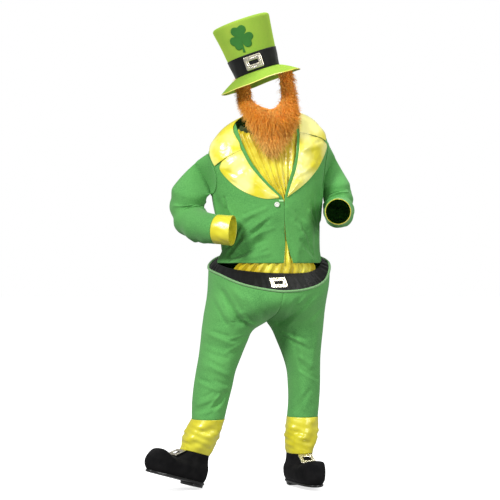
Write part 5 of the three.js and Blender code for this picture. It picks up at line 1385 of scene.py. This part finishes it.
finishes = {
    # the jacket's jersey is a darker copy of the trousers' jersey, the same cloth: the difference is painted shade
    "jersey": lookOf("jersey", "shaded kelly jersey", (0.062, 0.25, 0.058), (0.096, 0.335, 0.08)),
    "trouser_jersey": lookOf("jersey", "trouser jersey", (0.075, 0.29, 0.072), (0.115, 0.385, 0.096)),
    # the yellow satin's pale cream light colour is its painted highlight, spread in patches by the broad noise
    "satin": lookOf("satin", "yellow satin", (0.78, 0.69, 0.018), (0.97, 0.93, 0.32)),
    # a darker gold copy of the yellow satin: painted shade of the recessed, gathered shirt front, with the satin's
    # painted highlight patches
    "shaded_shirt_satin": lookOf(
        "satin", "shaded shirt satin", (0.60, 0.46, 0.008), (0.88, 0.80, 0.06), Roughness=0.28, crumple=1.25
    ),
    # the cuffs' satin has weaker painted highlight patches, a less pale light colour
    "cuff_satin": lookOf("satin", "cuff satin", (0.72, 0.64, 0.012), (0.84, 0.78, 0.04), Roughness=0.34),
    "felt": lookOf("felt", "apple felt", (0.135, 0.37, 0.028), (0.34, 0.49, 0.06), scale=5),
    "applique": lookOf("felt", "dark green felt", (0.028, 0.13, 0.026), (0.045, 0.19, 0.035)),
    "black_satin": lookOf(
        "satin", "black satin", (0.004, 0.004, 0.004), (0.007, 0.007, 0.008),
        Roughness=0.5, crumple=0.75, Specular_IOR_Level=0.15,
    ),
    "rim_piping": lookOf("jersey", "hoop piping", (0.13, 0.30, 0.11), (0.20, 0.40, 0.17)),
    # the binding band is near black: painted shade of the dark opening at the neck
    "neck_binding": lookOf("jersey", "shaded neck binding", (0.018, 0.028, 0.008), (0.035, 0.05, 0.014)),
    "loop": lookOf("jersey", "loop cord", (0.30, 0.60, 0.25), (0.42, 0.72, 0.34)),
    "fur": lookOf("fur", "beard fur", (1.0, 0.24, 0.008), (1.0, 0.42, 0.02), (1.0, 0.66, 0.18)),
    "buckle_metal": lookOf("metal", "pale gold", (0.95, 0.91, 0.80), (0.74, 0.66, 0.46)),
    "pearl": lookOf("plastic", "pearl", (0.62, 0.65, 0.56), (0.82, 0.84, 0.78), Roughness=0.2),
    "shoe_velour": lookOf("velour", "black velour", (0.003, 0.003, 0.0035), (0.009, 0.0085, 0.009)),
    "shoe_sole": lookOf("plastic", "black sole", (0.005, 0.005, 0.005), (0.012, 0.012, 0.012)),
}


def finishPiece(piece, slot, replaces=None, finish=None):
    # one piece: its material, chosen by finish or else by slot, then its body, and the solid that it stands for is
    # hidden
    piece.data.materials.append(finishes[finish or slot])
    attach(piece, "root")
    if replaces:
        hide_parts(replaces)
    return piece


def clothPiece(name, points, wall, slot, restsOn, held="stretched", closed=False, weld=False, cut=None, finish=None):
    # a cloth shell that stands for its solid; the width and length of its cut are worked out, or taken from cut, but
    # not used
    piece = finishPiece(clothShell(name + "_cloth", points, wall, closed, weld), slot, name, finish)
    width = np.linalg.norm(np.diff(points, axis=1), axis=-1).sum(1).max() / 1000
    length = np.linalg.norm(np.diff(points, axis=0), axis=-1).sum(0).max() / 1000
    width, length = cut or (width, length)
    return piece


print("jacket")
clothPiece("jacket_front_right", jacketFront(-1), jacket["wall"], "jersey", ["jacket_back"])
clothPiece("jacket_front_left", jacketFront(1), jacket["wall"], "jersey", ["jacket_back"])
clothPiece("jacket_back", jacketBack(), jacket["wall"], "jersey", ["shirt_neck_binding"])
clothPiece("lapel_right", lapel(lapelRight, True), collar["wall"], "satin", ["jacket_front_right"])
clothPiece("lapel_left", lapel(lapelLeft, False), collar["wall"], "satin", ["jacket_front_left"])
clothPiece("collar", collarSheet(), collar["wall"], "satin", ["jacket_back"])
jacketFronts = ["jacket_front_right", "jacket_front_left"]
# the shirt front takes the darker copy of the satin, whose darker gold is painted shade
clothPiece("shirt_front", shirtFront(), shirt["wall"], "satin", jacketFronts, "gathered", finish="shaded_shirt_satin")
# the binding's near-black colour is painted shade of the neck opening
clothPiece("shirt_neck_binding", neckBinding(), shirt["bindingWall"], "neck_binding", ["shirt_front"])

print("sleeves")
for side, name in ((-1, "right"), (1, "left")):
    clothPiece("sleeve_" + name, sleeveShell(side), sleeve["wall"], "jersey", ["jacket_front_" + name], closed=True)
    cuff = ("sleeve_cuff_" + name, cuffShell(side), sleeve["cuffWall"], "satin", ["sleeve_" + name])
    clothPiece(*cuff, closed=True, finish="cuff_satin")
    finishPiece(tubeAlong("armhole_welt_" + name, armholeSeam(side), sleeve["welt"]), "jersey")

print("waist and trousers")
clothPiece("belt", beltSheet(), belt["wall"], "black_satin", ["waist_hoop"], "gathered", closed=True)
for side, name in ((-1, "right"), (1, "left")):
    for part, first in (("front", 0), ("back", 0.5)):
        panel = (f"trouser_{part}_{name}", trouserPanel(side, first, first + 0.5), trousers["wall"], "jersey")
        clothPiece(*panel, ["waist_hoop"], "hung", finish="trouser_jersey")
    cuff = ("ankle_cuff_" + name, ankleCuff(side), ankle["wall"], "satin", ["shoe_upper_" + name], "gathered")
    clothPiece(*cuff, closed=True, finish="cuff_satin")
turn = np.linspace(0, 2 * np.pi, hoop["steps"] + 1)[:-1]
piping = tubeAlong("waist_hoop_piping", rimPoint(turn), hoop["wire"] - hoop["pipingLess"], 12)
finishPiece(piping, "rim_piping", "waist_hoop")

print("shoes")
for name in ("right", "left"):
    u, v = gridOf(84, 54)
    upper = shoeToWorld(name, shoePoint(2 * np.pi * u, v * (len(shoeSections["height"]) - 1)))
    velour = clothShell(f"shoe_upper_{name}_velour", upper, shoe["wall"], closed=True)
    finishPiece(velour, "shoe_velour", "shoe_upper_" + name)
    binding = upper[-1, :-1] - gridNormals(upper, True)[-1, :-1] * shoe["wall"] / 2
    finishPiece(tubeAlong("shoe_binding_" + name, binding, shoe["binding"], 10), "shoe_velour")
    for label in soles:
        finishPiece(soleSolid(name, label), "shoe_sole", f"shoe_{label}_{name}")

print("hat")
clothPiece("hat_crown", crownShell(), hat["wall"], "felt", ["hat_brim"], closed=True, weld=True)
brim = brimShell()
clothPiece("hat_brim", brim, hat["wall"], "felt", ["hat_crown"], closed=True)
edge = brim[0, :-1] - gridNormals(brim, True)[0, :-1] * hat["wall"] / 2
finishPiece(tubeAlong("hat_brim_thread", edge, hat["thread"]), "satin")
clothPiece("hat_band", bandShell(), hat["bandWall"], "black_satin", ["hat_crown"], closed=True)
clothPiece(
    "hat_shamrock", shamrockShell(), shamrock["wall"], "applique", ["hat_crown"],
    closed=True, weld=True, cut=shamrock["cut"],
)

print("beard")
u, v = gridOf(90, 36)
finishPiece(clothShell("beard_backing", beardSurface(u, v), beardDepth(v)), "fur", "beard")
finishPiece(furStrands("beard_fur_full", False), "fur")
finishPiece(furStrands("beard_fur_edge", True), "fur")

print("buckles, button and stitching")
for name in buckle["sizes"]:
    finishPiece(bucklePlate(name), "buckle_metal", name)
finishPiece(buttonDisc(), "pearl", "button")
finishPiece(clothShell("button_loop_tape", loopTape(), jacket["wall"]), "loop", "button_loop")
jerseyStitches, satinStitches = [], []
for side in (-1, 1):
    front, cuff, leg = jacketFront(side), cuffShell(side), ankleCuff(side)
    jerseyStitches += [insetRow(front, "bottom", 2), insetRow(front, "right" if side < 0 else "left", 3)]
    satinStitches += [insetRow(cuff, "bottom", 2, True), insetRow(leg, "top", 2, True)]
jerseyStitches.append(insetRow(jacketBack(), "bottom", 2))
for points in (lapel(lapelRight, True), lapel(lapelLeft, False)):
    satinStitches += [insetRow(points, "left", 2), insetRow(points, "right", 2)]
satinStitches.append(insetRow(collarSheet(), "top", 2))
finishPiece(stitchRows("jersey_stitching", jerseyStitches), "jersey")
finishPiece(stitchRows("satin_stitching", satinStitches), "satin")

studio = {  # metres; each light is a place, what it points at, a size and a power in watts
    "floorSize": 60, "floorBelow": 0.002, "camera": (-0.075, -7.5, -0.519), "lens": 130, "sensor": 36,
    "paper": 0.93, "paperRoughness": 0.9, "paperGlow": 0.72, "worldLight": 0.34,
    "lights": {
        "key": ((-3.0, -3.8, 2.7), (0, 0, -0.5), 0.9, 290),
        "fill": ((3.2, -4.2, 0.6), (0, 0, -0.7), 1.6, 120),
        "top": ((0.8, 0.6, 3.6), (0, 0, -0.4), 1.2, 90),
    },
}


def areaLight(name, place, aim, size, power):
    # a square lamp turned towards a point: tilt = arctan(flat distance / height), heading = arctan(x / y)
    light = bpy.data.objects.new(name, bpy.data.lights.new(name, "AREA"))
    light.data.size = size
    light.data.energy = power
    light.location = place
    direction = np.asarray(aim, float) - place
    flat = np.hypot(direction[0], direction[1])
    light.rotation_euler = (np.arctan2(flat, -direction[2]), 0, np.arctan2(-direction[0], direction[1]))
    bpy.context.collection.objects.link(light)


floorMesh = bpy.data.meshes.new("studio_floor")
half, floorZ = studio["floorSize"] / 2, cadBox[0][2] - studio["floorBelow"]
corners = [(x * half, y * half, floorZ) for x, y in ((-1, -1), (1, -1), (1, 1), (-1, 1))]
floorMesh.from_pydata(corners, [], [(0, 1, 2, 3)])
floor = bpy.data.objects.new("studio_floor", floorMesh)
bpy.context.collection.objects.link(floor)
paper = bpy.data.materials.new("white paper")
paper.use_nodes = True
sockets = paper.node_tree.nodes["Principled BSDF"].inputs
sockets["Base Color"].default_value = (*[studio["paper"]] * 3, 1)
sockets["Roughness"].default_value = studio["paperRoughness"]
sockets["Emission Color"].default_value = (1, 1, 1, 1)
sockets["Emission Strength"].default_value = studio["paperGlow"]
floorMesh.materials.append(paper)
floor.visible_diffuse = False
floor.visible_glossy = False

world = bpy.data.worlds.new("studio")
world.use_nodes = True
world.node_tree.nodes["Background"].inputs["Color"].default_value = (1, 1, 1, 1)
# plain white behind the costume, a third as bright where it lights it
rays = world.node_tree.nodes.new("ShaderNodeLightPath")
strength = world.node_tree.nodes.new("ShaderNodeMapRange")
strength.inputs["To Min"].default_value = studio["worldLight"]
world.node_tree.links.new(rays.outputs["Is Camera Ray"], strength.inputs["Value"])
world.node_tree.links.new(strength.outputs["Result"], world.node_tree.nodes["Background"].inputs["Strength"])
bpy.context.scene.world = world
bpy.context.scene.view_settings.view_transform = "Standard"
for name, values in studio["lights"].items():
    areaLight(name + " light", *values)

camera = bpy.data.objects.new("camera", bpy.data.cameras.new("camera"))
camera.location = studio["camera"]
camera.rotation_euler = (np.pi / 2, 0, 0)
camera.data.lens = studio["lens"]
camera.data.sensor_width = studio["sensor"]
bpy.context.collection.objects.link(camera)
bpy.context.scene.camera = camera
